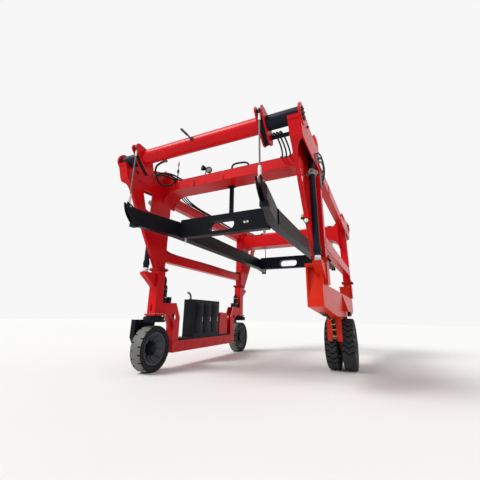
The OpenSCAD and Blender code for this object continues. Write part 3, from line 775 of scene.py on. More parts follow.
class CARRIER_OT_drive_tyres(Operator):
    """Makes the twin drive tyres with waved lugs right across the tread"""
    bl_idname = "carrier.drive_tyres"
    bl_label = "Drive tyres"

    def execute(self, context):
        low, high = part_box("drive_tyres")
        outer = (high.z - low.z) / 2
        half, lugs, bead = (high.x - low.x - TWIN_PITCH) / 2, 27, 0.37
        edge = half - 0.02
        wave = [(-edge, 0), (-edge * 0.66, 3.8), (-edge * 0.3, 1.6), (edge * 0.04, -3.2), (edge * 0.38, -3.8),
                (edge * 0.72, 0.6), (edge, 1.8)]
        wall = [(-half + 0.05, bead + 0.0005), (-half + 0.014, bead + 0.02), (-half + 0.01, bead + 0.08),
                (-half, outer - 0.17), (-half + 0.003, outer - 0.08), (-half + 0.01, outer - 0.028)]
        profile = [*wall, *((x, outer - 0.008 if abs(x) == edge else outer, twist) for x, twist in wave),
                   *((-x, r) for x, r in reversed(wall))]
        made = []
        for side in (-1, 1):
            middle = (low + high) / 2 + Vector((side * TWIN_PITCH / 2, 0, 0))
            tyre = ring(profile, middle, RIGHT, steps=lugs * 4, angle=0.5)
            faces = tread_bands(tyre, middle, outer, half)
            press_in(tyre, lambda face: face.index in faces, 0.034)
            made.append(tyre)
        whole = gather(made, "twin_drive_tyres", "tyre_lug", "drive_wheels")
        shade_tyre(whole, (low + high) / 2, outer, 0.012)
        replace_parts(whole, "drive_tyres")
        return {"FINISHED"}


def tread_bands(tyre, middle, outer, half):
    """The tread faces that lie in every fourth step round the tyre, from shoulder to shoulder."""
    mesh = tyre.data
    rings = {}
    for face in mesh.polygons:
        spot = face.center - middle
        if spot.yz.length > outer - 0.075 and abs(spot.x) < half - 0.003:
            rings.setdefault(round(spot.x, 3), []).append((math.atan2(spot.z, spot.y), face.index))
    chosen = set()
    neighbours = {}
    for face in mesh.polygons:
        for key in face.edge_keys:
            neighbours.setdefault(key, []).append(face.index)
    tread = {index for faces in rings.values() for _, index in faces}
    walk = [index for k, (_, index) in enumerate(sorted(rings[min(rings)])) if k % 4 == 0]
    for index in walk:
        current, seen = index, set()
        while current is not None and current not in seen:
            seen.add(current)
            chosen.add(current)
            here = mesh.polygons[current].center.x
            ahead = [other for key in mesh.polygons[current].edge_keys for other in neighbours[key]
                     if other in tread and mesh.polygons[other].center.x > here + 1e-4]
            current = ahead[0] if ahead else None
    return chosen


class CARRIER_OT_wheel_hubs(Operator):
    """Adds rim dishes, lock rings, ribs and bolted hub covers to the wheels"""
    bl_idname = "carrier.wheel_hubs"
    bl_label = "Wheel hubs"

    def execute(self, context):
        lock_ring = [(0.105, 0.362), (0.13, 0.366), (0.142, 0.376), (0.148, 0.392), (0.146, 0.404),
                     (0.12, 0.4045), (0.118, 0.378), (0.104, 0.372)]
        dish = [(0.106, 0.374), (0.1, 0.362), (0.045, 0.318), (-0.012, 0.262), (-0.034, 0.222),
                (-0.038, 0.172), (-0.058, 0.172), (-0.058, 0.34), (0.02, 0.374)]
        rib_side = [(0.168, -0.036), (0.222, -0.034), (0.262, -0.014), (0.35, 0.082), (0.35, 0.1),
                    (0.235, 0.012), (0.168, 0.006)]
        cover = [(0.03, 0.168), (0.045, 0.165), (0.05, 0.14), (0.05, 0.128), (0.076, 0.122),
                 (0.112, 0.1), (0.118, 0.07), (0.118, 0.001)]
        for name in ("near", "far"):
            middle = middle_of(name + "_tyre")
            grey = [ring(lock_ring, middle, RIGHT, 64), ring(dish, middle, RIGHT, 64)]
            rib = plate(rib_side, "Y", -0.011, 0.022)
            rib.data.transform(Matrix.Rotation(math.pi / 2, 4, "Y") @ Matrix.Diagonal((-1, 1, 1, 1)))
            rib.data.flip_normals()
            grey += copies(rib, [Matrix.Translation(middle) @ Matrix.Rotation(math.tau * k / 10 + 0.2, 4, "X")
                                 for k in range(10)])
            gather(grey, name + "_rim_dish", "rim_grey", name + "_wheel")
            dark = [turned(cover, middle, RIGHT, 40)]
            dark += bolt_ring(12, 0.148, 0.011, middle + RIGHT * 0.046, RIGHT)
            dark += bolt_ring(6, 0.07, 0.008, middle + RIGHT * 0.112, RIGHT)
            gather(dark, name + "_hub_cover", "navy_enamel", name + "_wheel")
        parts = []
        for side in (-1, 1):
            out = Vector((side, 0, 0))
            face = middle_of("drive_tyres") + out * (TWIN_PITCH / 2 + 0.06)
            parts.append(ring([(0.06, 0.33), (0.085, 0.335), (0.094, 0.35), (0.09, 0.362), (0.07, 0.365),
                               (0.06, 0.345)], face, out, 64))
            parts.append(turned([(0, 0.13), (0.07, 0.128), (0.095, 0.11), (0.1, 0.08), (0.1, 0.001)],
                                face + out * 0.06, out, 40))
            parts += bolt_ring(10, 0.2, 0.014, face, out)
        gather(parts, "drive_hub_covers", "rim_grey", "drive_wheels")
        return {"FINISHED"}


def leg_bolts(places, z, size, direction=UP):
    """Bolt heads at places about the far right leg's axis."""
    moves = [shift_move(RIGHT_X + x, LEG_Y + y, z) for x, y in places]
    return copies(bolt(size, ORIGIN, direction, 1.5), moves)


class CARRIER_OT_flange_bolts(Operator):
    """Bolts the legs' flanges, the column feet and the tubes' end covers"""
    bl_idname = "carrier.flange_bolts"
    bl_label = "Flange bolts"

    def execute(self, context):
        size, count = sizes().bolt_radius, sizes().flange_bolts
        sides = [(x, -0.15 + 0.285 * k / (count - 1)) for x in (-0.172, 0.172) for k in range(count)]
        front = [(x, -0.165) for x in (-0.11, -0.035, 0.035, 0.11)]
        back = [(x, 0.165) for x in (-0.08, 0.0, 0.08)]
        for body, side in SIDE_FRAMES.items():
            bolts = leg_bolts(sides + front + back, FLANGE_Z, size)
            bolts += leg_bolts(sides + front, FLANGE_Z - 0.03, size, -UP)
            gather(mirrored(bolts, ends(side)), "flange_bolts_" + body, "black_enamel", body)
        foot = [(x, y) for x in (-0.148, 0.148) for y in (-0.165, -0.08, 0.0, 0.08, 0.165)]
        foot += [(x, y) for y in (-0.175, 0.175) for x in (-0.08, 0.0, 0.08)]
        bolts = leg_bolts(foot, COLUMN_FOOT, 0.012)
        gather(mirrored(bolts, ends(-1)), "column_foot_bolts", "steel", "left_frame")
        covers = []
        for side, end in CORNERS:
            face, out = at(side * (HEAD_X + 0.028), end * TUBE_Y, TUBE_Z), (side, 0, 0)
            covers += bolt_ring(8, 0.115, 0.011, face, out)
            covers.append(ring([(0, 0.04), (0.008, 0.042), (0.008, 0.078), (0, 0.08)], face, out, 40))
        gather(covers, "tube_cover_bolts", "navy_enamel", "gantry")
        return {"FINISHED"}


# The rim round a leg's window, in metres from the leg's axis and above the ground
WINDOW_RIM = [(0.775, 4.11), (0.86, 4.12), (0.915, 4.145), (1.068, 4.59), (1.06, 4.64), (1.01, 4.665),
              (0.76, 4.67), (0.71, 4.65), (0.7, 4.61), (0.715, 4.17), (0.735, 4.125), (0.775, 4.11)]


class CARRIER_OT_head_trim(Operator):
    """Adds the seams of the legs and crossbeams, with their ribs, gussets and fittings"""
    bl_idname = "carrier.head_trim"
    bl_label = "Leg trim"

    def execute(self, context):
        inner, outer = WEB_X + MID_X, HEAD_X + MID_X
        across = (inner + 0.004, (inner + outer) / 2, outer - 0.004)
        for node, corner in LEGS.items():
            seams = [seam([(x, LEG_Y + y, z) for x in across], 0.005)
                     for y, z in ((1.668, 4.76), (1.728, 4.94))]
            seams.append(seam([(inner - 0.001, LEG_Y + 0.335 + t * 0.88, FLANGE_Z + 0.04 + t * 1.38)
                               for t in (0, 0.35, 0.7, 1.0)], 0.004))
            seams.append(seam([(inner - 0.002, LEG_Y + y, z) for y, z in WINDOW_RIM]))
            seams.append(seam([(inner - 0.001, LEG_Y + y, z)
                               for y, z in ((0.88, 4.86), (1.16, 4.862), (1.45, 4.86))]))
            gather(mirrored(seams, [corner_moves()[corner]]), node + "_trim", "red_enamel", "gantry")
        ribs = []
        for end, low_z, high_z, crossing in ((-1, 4.9, 5.19, (0.95,)), (1, 4.28, 4.79, (-1.56, 0, 1.56))):
            for x in crossing:
                ribs.append(seam([at(x, end * LEG_Y - CROSSBEAM_HALF, z)
                                  for z in (low_z + 0.005, (low_z + high_z) / 2, high_z - 0.005)], 0.0055))
            for y in (end * LEG_Y - CROSSBEAM_HALF, end * LEG_Y + CROSSBEAM_HALF):
                ribs.append(seam([at(x, y, high_z - 0.004) for x in (-2.1, -1.0, 0, 1.0, 2.1)]))
                ribs.append(seam([at(x, y, low_z + 0.004) for x in (-1.62, -0.8, 0, 0.8, 1.62)]))
            outline = [(x, high_z + z) for x, z in ((1.62, 0.001), (2.128, 0.001), (2.128, 0.33),
                                                    (2.03, 0.31), (1.9, 0.17), (1.75, 0.07))]
            for side in (-1, 1):
                gusset = plate(outline, "Y", LEG_Y + 0.17, 0.02)
                gusset.data.transform(shift_move(MID_X))
                ribs += mirrored([gusset], [corner_moves()[(side, end)]])
        gather(ribs, "crossbeam_seams", "red_enamel", "gantry")
        # The ribs take the darker red: painted shade along the crossbeam's front
        bars = [block(at(x - 0.02, -LEG_Y - 0.284, 4.905), at(x + 0.02, -LEG_Y - 0.27, 5.185), 0.003)
                for x in (-1.62, -1.07, -0.11)]
        gather(bars, "crossbeam_ribs", "red_enamel_painted_shade", "gantry")
        fitting = turned([(-0.006, 0.034), (0.008, 0.034), (0.012, 0.022), (0.03, 0.02), (0.034, 0.001)],
                         at(HEAD_X, LEG_Y + 1.16, 5.225), RIGHT, 20)
        gather(mirrored([fitting], all_corners()), "head_fittings", "black_enamel", "gantry")
        return {"FINISHED"}


class CARRIER_OT_cylinders(Operator):
    """Dresses the lift cylinders: glands, caps, cast clamps, rod eyes and ports"""
    bl_idname = "carrier.cylinders"
    bl_label = "Lift cylinders"

    def execute(self, context):
        axis = at(CYL_X, CYL_Y, 0)
        x, y = axis.xy
        dark = [ring([(2.7, 0.062), (2.7, 0.084), (2.716, 0.086), (2.718, 0.0905), (2.74, 0.0905),
                      (2.742, 0.084), (2.79, 0.08), (2.792, 0.07)], axis, UP, 40),
                turned([(0, 0.0675), (0.018, 0.0675), (0.03, 0.055), (0.034, 0.04), (0.034, 0.001)],
                       (x, y, BARREL_TOP), UP),
                block((x - 0.024, y - 0.05, BARREL_TOP + 0.03),
                      (x + 0.024, y + 0.05, BARREL_TOP + 0.13), 0.012),
                ring([(3.62, 0.066), (3.62, 0.0745), (3.65, 0.0745), (3.65, 0.066)], axis, UP, 32),
                ring([(2.61, 0.0445), (2.61, 0.07), (2.618, 0.074), (2.7, 0.074), (2.7, 0.0445)],
                     axis, UP, 32)]
        dark += bolt_ring(8, 0.078, 0.006, (x, y, BARREL_FOOT), -UP)
        gather(mirrored(dark, all_corners()), "cylinder_glands", "navy_enamel", "gantry")
        grey = [ring([(4.425, 0.068), (4.425, 0.098), (4.433, 0.103), (4.517, 0.103), (4.525, 0.098),
                      (4.525, 0.068)], axis, UP, 40),
                ring([(0, 0.026), (0, 0.056), (0.008, 0.062), (0.04, 0.062), (0.04, 0.026)],
                     (x + 0.02, y + 0.092, 4.475), -FRONT, 32)]
        for side in (-1, 1):
            grey.append(block((x + side * 0.135, y - 0.03, 4.442), (x + side * 0.085, y + 0.03, 4.508), 0.01))
            grey.append(bolt_head(0.011, (x + side * 0.11, y, 4.508), UP))
        gather(mirrored(grey, all_corners()), "cylinder_clamps", "zinc_grey", "gantry")
        for body, side in SIDE_FRAMES.items():
            eye = [ring([(0, 0.043), (0, 0.068), (0.012, 0.074), (0.05, 0.074), (0.058, 0.066), (0.075, 0.06),
                         (0.075, 0.043)], (x, y, 2.501), UP, 32)]
            eye += bolt_ring(4, 0.094, 0.009, (x, y, 2.5005), UP)
            gather(mirrored(eye, ends(side)), "rod_eyes_" + body, "steel", body)
        return {"FINISHED"}


HOSE_RUNS = {
    # name: (bodies at the two ends, radius, runs of points in machine metres)
    "right_head_hoses": (("gantry", "gantry"), 0.019, [
        [(2.396, -3.12, 4.90), (2.43, -3.05, 4.99), (2.44, -2.75, 5.14), (2.44, -2.4, 5.19),
         (2.43, -2.14, 5.12), (2.43, -2.14, 4.95), (2.42, -2.33, 4.72), (2.42, -2.52, 4.46),
         (2.396, -2.6, 4.38)],
        [(2.396, -3.02, 4.84), (2.43, -2.93, 4.94), (2.45, -2.62, 5.07), (2.45, -2.36, 5.10),
         (2.44, -2.2, 5.0), (2.44, -2.28, 4.82), (2.43, -2.48, 4.56), (2.396, -2.58, 4.48)],
        [(2.396, -2.69, 5.05), (2.44, -2.6, 5.1), (2.46, -2.38, 5.04), (2.45, -2.27, 4.9), (2.43, -2.4, 4.66),
         (2.396, -2.55, 4.58)],
        [(2.396, -2.95, 4.80), (2.43, -2.87, 4.86), (2.45, -2.6, 4.98), (2.46, -2.44, 4.94),
         (2.44, -2.46, 4.8), (2.396, -2.56, 4.7)]]),
    "shift_hoses": (("hoist", "gantry"), 0.018, [
        [(1.7, -3.988, 5.09), (1.702, -3.985, 5.15), (1.72, -3.86, 5.17), (1.74, -3.6, 5.06),
         (1.7, -3.35, 5.0), (1.6, -3.06, 5.09), (1.53, -2.92, 5.2), (1.5, -2.84, 5.205)],
        [(1.775, -3.988, 5.09), (1.777, -3.985, 5.15), (1.8, -3.84, 5.15), (1.83, -3.55, 4.99),
         (1.78, -3.3, 4.95), (1.68, -3.03, 5.08), (1.62, -2.9, 5.2), (1.6, -2.83, 5.205)],
        [(1.85, -3.988, 5.09), (1.852, -3.985, 5.15), (1.88, -3.84, 5.15), (1.9, -3.55, 5.04),
         (1.87, -3.28, 5.0), (1.8, -3.02, 5.1), (1.74, -2.9, 5.2), (1.72, -2.83, 5.205)]]),
    "tube_hose": (("hoist", "gantry"), 0.027, [
        [(-1.105, -4.09, 5.09), (-1.26, -4.03, 5.13), (-1.428, -3.95, 5.167), (-1.65, -3.84, 5.17),
         (-1.748, -3.75, 5.112), (-1.82, -3.62, 5.04), (-1.868, -3.5, 4.983), (-1.9, -3.34, 4.94),
         (-1.881, -3.2, 4.947), (-1.83, -3.09, 4.98), (-1.77, -3.0, 5.048), (-1.74, -2.93, 5.17),
         (-1.72, -2.88, 5.225), (-1.7, -2.8, 5.215)]]),
    "left_head_hoses": (("gantry", "gantry"), 0.026, [
        [(-2.13, -3.32, 5.3), (-1.99, -3.24, 5.34), (-1.84, -3.08, 5.33), (-1.72, -2.93, 5.26),
         (-1.62, -2.8, 5.215)],
        [(-2.13, -3.22, 5.36), (-1.96, -3.14, 5.39), (-1.77, -2.98, 5.36), (-1.6, -2.85, 5.26),
         (-1.5, -2.76, 5.215)],
        [(-2.13, -3.4, 5.22), (-2.0, -3.33, 5.25), (-1.88, -3.16, 5.26), (-1.8, -2.98, 5.24),
         (-1.72, -2.78, 5.215)]]),
    "left_beam_hoses": (("gantry", "gantry"), 0.02, [
        [(-2.02, -2.45, 5.215), (-2.08, -2.26, 5.17), (-2.15, -1.95, 5.02), (-2.17, -1.2, 4.988),
         (-2.17, 0.6, 4.988), (-2.17, 2.2, 4.988)],
        [(-1.95, -2.42, 5.215), (-2.03, -2.24, 5.2), (-2.1, -1.95, 5.06), (-2.12, -1.3, 4.995),
         (-2.12, 0.5, 4.988), (-2.12, 2.2, 4.988)],
        [(-1.87, -2.4, 5.215), (-1.97, -2.2, 5.22), (-2.06, -1.9, 5.1), (-2.08, -1.3, 5.0),
         (-2.08, -0.4, 4.988), (-2.09, 0.3, 4.986)]]),
    "lower_beam_hoses": (("gantry", "gantry"), 0.024, [
        [(x, -2.534, 3.26), (x, -2.38, 3.2), (x, -2.2, 3.168), (x, 0.0, 3.168), (x, 2.2, 3.168),
         (x, 2.38, 3.2), (x, 2.534, 3.26)] for x in (-2.36, -2.30, -2.24)]),
    "left_column_hoses": (("left_frame", "left_frame"), 0.019, [
        [(-2.2 - k * 0.04, -2.484, 2.47), (-2.18 - k * 0.04, -2.40, 2.42),
         (-2.19 - k * 0.04, -2.37 + k * 0.02, 2.2), (-2.2 - k * 0.04, -2.37 + k * 0.02, 1.98),
         (-2.2 - k * 0.04, -2.4, 1.86), (-2.2 - k * 0.04, -2.483, 1.82)]
        for k in range(3)]),
    "hanger_hoses": (("right_frame", "right_frame"), 0.016, [
        [(2.084 + k * 0.03, -2.05, 1.512), (2.084 + k * 0.03, -1.9, 1.47), (2.08 + k * 0.03, -1.5, 1.45),
         (2.07 + k * 0.028, -1.0, 1.39), (2.075 + k * 0.028, -0.6, 1.32), (2.078 + k * 0.026, -0.455, 1.2),
         (2.08 + k * 0.026, -0.44, 1.0), (2.08 + k * 0.026, -0.44, 0.855)] for k in range(3)]),
}


def ferrule(radius, foot, toward):
    """The crimped end of a hose, set a little into what it screws into."""
    aim = (toward - foot).normalized()
    return turned([(0, radius * 1.5), (0.018, radius * 1.5), (0.02, radius * 1.25), (0.055, radius * 1.2),
                   (0.058, radius)], foot - aim * 0.012, aim, 12)


class CARRIER_OT_hoses(Operator):
    """Lays the hoses, which are clipped or screwed in at both ends"""
    bl_idname = "carrier.hoses"
    bl_label = "Hoses"

    def execute(self, context):
        for name, ((first, last), real_radius, runs) in HOSE_RUNS.items():
            radius = real_radius * sizes().hose_thickness
            start, end = at(0, runs[0][0][1] + 0.05, 0), at(0, runs[0][-1][1] - 0.12, 0)
            body = first if first == last else (first, last, start, end)
            lengths = [hose([at(*point) for point in run], radius, 12) for run in runs]
            gather(lengths, name, "hose_rubber", body)
            ferrules = {first: [], last: []}
            for run in runs:
                ferrules[first].append(ferrule(radius, at(*run[0]), at(*run[1])))
                ferrules[last].append(ferrule(radius, at(*run[-1]), at(*run[-2])))
            for place, pieces in ferrules.items():
                gather(pieces, name + "_ferrules_" + place, "cast_grey", place)
        places = ((2.1, -0.98, 1.387, (0, 1, -0.18)), (2.103, -0.5, 1.255, (0, 0.45, -0.9)),
                  (2.106, -0.445, 1.1, -UP), (2.106, -0.44, 0.94, -UP))
        clips = [ring([(0, 0.046), (0, 0.053), (0.018, 0.053), (0.018, 0.046)], at(x, y, z), aim, 28)
                 for x, y, z, aim in places]
        gather(clips, "hose_clips", "yellow_plastic", "right_frame")
        manifold = block(at(2.045, -0.47, 0.8), at(2.165, -0.41, 0.86), 0.006)
        gather([manifold], "hose_manifold", "black_enamel", "right_frame")
        blocks = [block(at(2.3925, -2.72, 4.30), at(2.41, -2.54, 4.75)),
                  block(at(2.3925, -3.16, 4.78), at(2.41, -2.9, 4.95))]
        gather(blocks, "valve_blocks", "cast_grey", "gantry")
        return {"FINISHED"}


class CARRIER_OT_slings(Operator):
    """Makes the wire slings with their thimbles, sleeves, bow shackles and pins"""
    bl_idname = "carrier.slings"
    bl_label = "Slings"

    def execute(self, context):
        low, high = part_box("slings")
        middle = (low.x + high.x) / 2
        pin_half, eye_half = 0.0357, 0.053
        x, y = (high.x - low.x) / 2 - pin_half, high.y - eye_half
        foot, top = low.z + 0.025, high.z - eye_half
        length = top - foot
        bow = [(-1, -0.01), (-1.1, 0.04), (-1, 0.085), (-0.55, 0.118), (0, 0.128), (0.55, 0.118), (1, 0.085),
               (1.1, 0.04), (1, -0.01)]
        ropes, sleeves, shackles, pins = [], [], [], []
        for side, end in CORNERS:
            pin, eye = Vector((side * x + middle, end * y, foot)), Vector((side * x + middle, end * y, top))
            ropes.append(turned([(0.12, 0.017), (0.2, 0.018), (length - 0.09, 0.018), (length - 0.07, 0.014)],
                                pin, UP, 20))
            ropes.append(hose([eye + 0.046 * Vector((0, math.cos(a), math.sin(a)))
                               for a in (math.tau * k / 16 - math.pi / 2 for k in range(17))], 0.015, 12))
            sleeves.append(turned([(0.118, 0.02), (0.122, 0.03), (0.16, 0.035), (0.27, 0.035), (0.32, 0.029),
                                   (0.33, 0.019)], pin, UP, 28))
            sleeves.append(turned([(-0.23, 0.019), (-0.22, 0.027), (-0.1, 0.027), (-0.07, 0.02)],
                                  eye, UP, 24))
            shackles.append(hose([pin + Vector((a * 0.034, 0, b)) for a, b in bow], 0.015, 12))
            shackles.append(turned([(0.098, 0.022), (0.102, 0.027), (0.122, 0.027), (0.126, 0.02)],
                                   pin, UP, 20))
            pins.append(turned([(-pin_half, 0.024), (-pin_half + 0.001, 0.025), (pin_half - 0.001, 0.025),
                                (pin_half, 0.024)], pin, RIGHT, 28))
            for cheek in (-1, 1):
                pins.append(turned([(0, 0.03), (0.01, 0.034), (0.016, 0.028)],
                                   pin + RIGHT * (cheek * 0.0605), RIGHT * cheek, 6))
        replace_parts(gather(ropes, "wire_slings", "rope", "hoist"), "slings")
        gather(sleeves, "sling_sleeves", "white_steel", "hoist")
        gather(shackles, "bow_shackles", "steel", "hoist")
        gather(pins, "shackle_pins", "cast_grey", "hoist")
        return {"FINISHED"}


class CARRIER_OT_floodlights(Operator):
    """Makes the two floodlights with their stands"""
    bl_idname = "carrier.floodlights"
    bl_label = "Floodlights"

    def execute(self, context):
        dark, glass = [], []
        y, deck = -LEG_Y, CROSSBEAM_TOP
        for x, z, size, aim in ((-0.985, 5.6, 0.082, (-0.75, -0.9, 0.1)),
                                (-0.765, 5.485, 0.094, (0.2, -1.0, -0.1))):
            foot_x = max(-0.9, x)
            aim = Vector(aim).normalized()
            start = at(x, y, z)
            dark.append(turned([(-0.1, 0.03), (-0.095, 0.05), (-0.03, size * 0.82), (0.0, size),
                                (0.03, size), (0.034, size * 0.93), (0.024, size * 0.86),
                                (0.012, size * 0.8), (0.012, 0.001)], start, aim, 36))
            fin = ring([(0, size * 0.82), (0, size * 0.98), (0.005, size * 0.98), (0.005, size * 0.82)],
                       ORIGIN, UP, 36)
            dark += copies(fin, [aimed(start, aim) @ shift_move(z=back) for back in (-0.02, -0.04)])
            glass.append(turned([(0, size * 0.8), (0.006, size * 0.78), (0.01, size * 0.4), (0.011, 0.001)],
                                start + aim * 0.013, aim, 36))
            dark.append(hose([at(foot_x, y, deck), at(foot_x, y, deck + 0.1),
                              at(foot_x, y + 0.05, z - size * 1.1), start - aim * 0.06], 0.016, 8))
            dark.append(block(at(foot_x - 0.07, y - 0.06, deck),
                              at(foot_x + 0.07, y + 0.06, deck + 0.14), 0.01))
        lamps = gather(dark, "floodlight_housings", "black_plastic", "gantry")
        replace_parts(lamps, "floodlights")
        gather(glass, "floodlight_glasses", "lamp_glass", "gantry")
        return {"FINISHED"}


class CARRIER_OT_beacon(Operator):
    """Makes the beacon's ribbed lens and its base"""
    bl_idname = "carrier.beacon"
    bl_label = "Beacon"

    def execute(self, context):
        low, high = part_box("beacons")
        base_top = low.z + 0.012
        foot = Vector((high.x - 0.0803, (low.y + high.y) / 2, base_top))
        base = [turned([(0, 0.046), (0.012, 0.0475), (0.02, 0.044)], foot, UP),
                block(low, (high.x, high.y, base_top), 0.003)]
        cap = turned([(0.018, 0.042), (0.05, 0.0425), (0.078, 0.038), (0.09, 0.026), (0.0945, 0.01),
                      (0.0948, 0.001)], foot, UP)
        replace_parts(gather([cap], "beacon_lens", "amber_lens", "gantry"), "beacons")
        gather(base, "beacon_base", "black_plastic", "gantry")
        return {"FINISHED"}


def leg_front(z):
    """Where the near legs' sloping front plate stands at a height, in machine metres."""
    return -(LEG_Y + 0.32 + (z - FLANGE_Z - 0.03) * 0.635)


class CARRIER_OT_leg_lamp(Operator):
    """Makes the leg lamp on the sloping front, with its glass and cable"""
    bl_idname = "carrier.leg_lamp"
    bl_label = "Leg lamp"

    def execute(self, context):
        x, z = 2.165, 3.3
        y = leg_front(z)
        housing = [turned([(-0.012, 0.04), (0.0, 0.045), (0.03, 0.056), (0.05, 0.058), (0.054, 0.052),
                           (0.046, 0.046), (0.046, 0.001)], at(x, y, z), FRONT),
                   block(at(x - 0.03, y - 0.012, z - 0.05), at(x + 0.03, y + 0.02, z + 0.06))]
        gather(housing, "leg_lamp", "black_plastic", "gantry")
        glass = turned([(0, 0.046), (0.006, 0.042), (0.012, 0.02), (0.013, 0.001)],
                       at(x, y - 0.047, z), FRONT, 28)
        gather([glass], "leg_lamp_glass", "white_steel", "gantry")
        route = ((0.01, z - 0.03), (0.0, 3.16), (0.0, 2.97), (0.01, 2.82), (0.05, 2.73))
        cable = hose([at(x + dx, leg_front(height) - 0.008, height) for dx, height in route], 0.011, 8)
        gather([cable], "leg_lamp_cable", "hose_rubber", "gantry")
        return {"FINISHED"}


class CARRIER_OT_stick_lamp(Operator):
    """Makes the slanting stick lamp on the hoist"""
    bl_idname = "carrier.stick_lamp"
    bl_label = "Stick lamp"

    def execute(self, context):
        foot, tip = at(-0.111, -4.415, 5.25), at(-0.445, -4.42, 5.62)
        length, lean = (tip - foot).length, (tip - foot).normalized()
        stick = [turned([(-0.01, 0.034), (0.03, 0.036), (0.05, 0.02), (length * 0.38, 0.02),
                         (length * 0.42, 0.027), (length - 0.03, 0.03), (length - 0.01, 0.027),
                         (length, 0.012)], foot, lean, 24),
                 turned([(-0.012, 0.05), (0.014, 0.052), (0.02, 0.044)], foot, (0, -1, 0.08), 28)]
        gather(stick, "stick_lamp", "black_plastic", "hoist")
        return {"FINISHED"}


class CARRIER_OT_crossbeam_fittings(Operator):
    """Adds the hose hoop, the guide post and the aerial by the near crossbeam"""
    bl_idname = "carrier.crossbeam_fittings"
    bl_label = "Crossbeam fittings"

    def execute(self, context):
        deck = CROSSBEAM_TOP
        arch = [(0.0, 5.19), (0.0, 5.36), (0.03, 5.45), (0.12, 5.485), (0.26, 5.48), (0.42, 5.455),
                (0.5, 5.4), (0.52, 5.3), (0.52, 5.19)]
        hoop = [hose([at(x, -LEG_Y, z) for x, z in arch], 0.027, 12)]
        hoop += [block(at(x - 0.05, -LEG_Y - 0.05, deck), at(x + 0.05, -LEG_Y + 0.05, 5.202))
                 for x in (0, 0.52)]
        hoop += [block(at(x - 0.02, -LEG_Y - 0.03, deck), at(x + 0.02, -LEG_Y + 0.03, 5.32), 0.006)
                 for x in (0.12, 0.26, 0.4)]
        gather(hoop, "hose_hoop", "black_enamel", "gantry")
        post = [block(at(-0.15, -2.45, 3.92), at(-0.04, -2.37, 4.8995), 0.008),
                block(at(-0.2, -2.5, 4.875), at(0.01, -2.36, 4.8998), 0.006)]
        gather(post, "guide_post", "black_enamel", "gantry")
        foot = at(-1.74, -2.82, deck)
        mast = turned([(0, 0.045), (0.01, 0.046), (0.016, 0.016), (0.3, 0.014), (0.31, 0.032), (0.4, 0.034),
                       (0.42, 0.012), (0.56, 0.008)], foot, UP, 20)
        gather([mast], "aerial", "black_plastic", "gantry")
        tip = turned([(0.54, 0.006), (0.55, 0.024), (0.66, 0.026), (0.7, 0.014), (0.705, 0.001)],
                     foot, UP, 20)
        gather([tip], "aerial_tip", "red_lens", "gantry")
        return {"FINISHED"}


def oval_rim(x, y, z, reach=0.245, radius=0.135):
    """Points round an oval slot: two half circles that stand a reach from its middle."""
    rim = []
    for k in range(25):
        a = math.tau * k / 24
        centre = -reach if 6 < k < 19 else reach
        rim.append(at(x + centre + radius * math.cos(a), y, z + radius * math.sin(a)))
    return rim


class CARRIER_OT_spreader(Operator):
    """Adds the spreader's seams, slot rims, stops, fittings and bolts"""
    bl_idname = "carrier.spreader"
    bl_label = "Spreader trim"

    def execute(self, context):
        low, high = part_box("spreader_cross_beams")
        shift = (low.x + high.x) / 2 - MID_X
        half, front, z0, z1 = (high.x - low.x) / 2, high.y, low.z, high.z
        dark = []
        for y in (-front, front):
            dark.append(hose(oval_rim(shift, y, z0 + 0.21), 0.009, 8))
            for x in (-half + 0.004, half - 0.004):
                dark.append(seam([at(shift + x, y, z) for z in (z0 + 0.02, z0 + 0.25, z1 - 0.02)], 0.007))
            for z in (z0 + 0.004, z1 - 0.004):
                dark.append(seam([at(shift + x, y, z) for x in (-half, -half / 2, 0, half / 2, half)]))
        for side, end in CORNERS:
            bend = end * (LOCK_PITCH / 2 + 0.1)
            for x in (1.25, 1.5):
                dark.append(seam([at(side * x + shift, bend, z)
                                  for z in (z0 + 0.045, z0 + 0.25, z1 - 0.065)], 0.008))
            dark.append(block(at(side * 1.4995 + shift, bend - end * 0.03, z0 + 0.05),
                              at(side * 1.52 + shift, bend - end * 0.08, z1 - 0.07)))
        gather(dark, "spreader_seams", "black_enamel", "hoist")
        pale = [bolt_head(0.02, at(shift + x, -front, z0 + 0.207), FRONT) for x in (0.66, 0.74)]
        gather(pale, "spreader_fittings", "white_steel", "hoist")
        bolt_y, bolt_z = TUBE_Y + 0.268, z0 + 0.43
        bright = [bolt_head(0.018, at(shift + side * ARM_X + out * ARM_HALF, end * bolt_y, bolt_z),
                            (out, 0, 0)) for side, end in CORNERS for out in (side, -side)]
        gather(bright, "spreader_bolts", "brass", "hoist")
        stops = [block(at(shift + side * ARM_X - 0.085, end * (TUBE_Y - 0.04), z0),
                       at(shift + side * ARM_X + 0.085, end * (TUBE_Y + 0.1), z0 + 0.12), 0.01)
                 for side, end in CORNERS]
        gather(stops, "arm_stops", "black_enamel", "hoist")
        return {"FINISHED"}


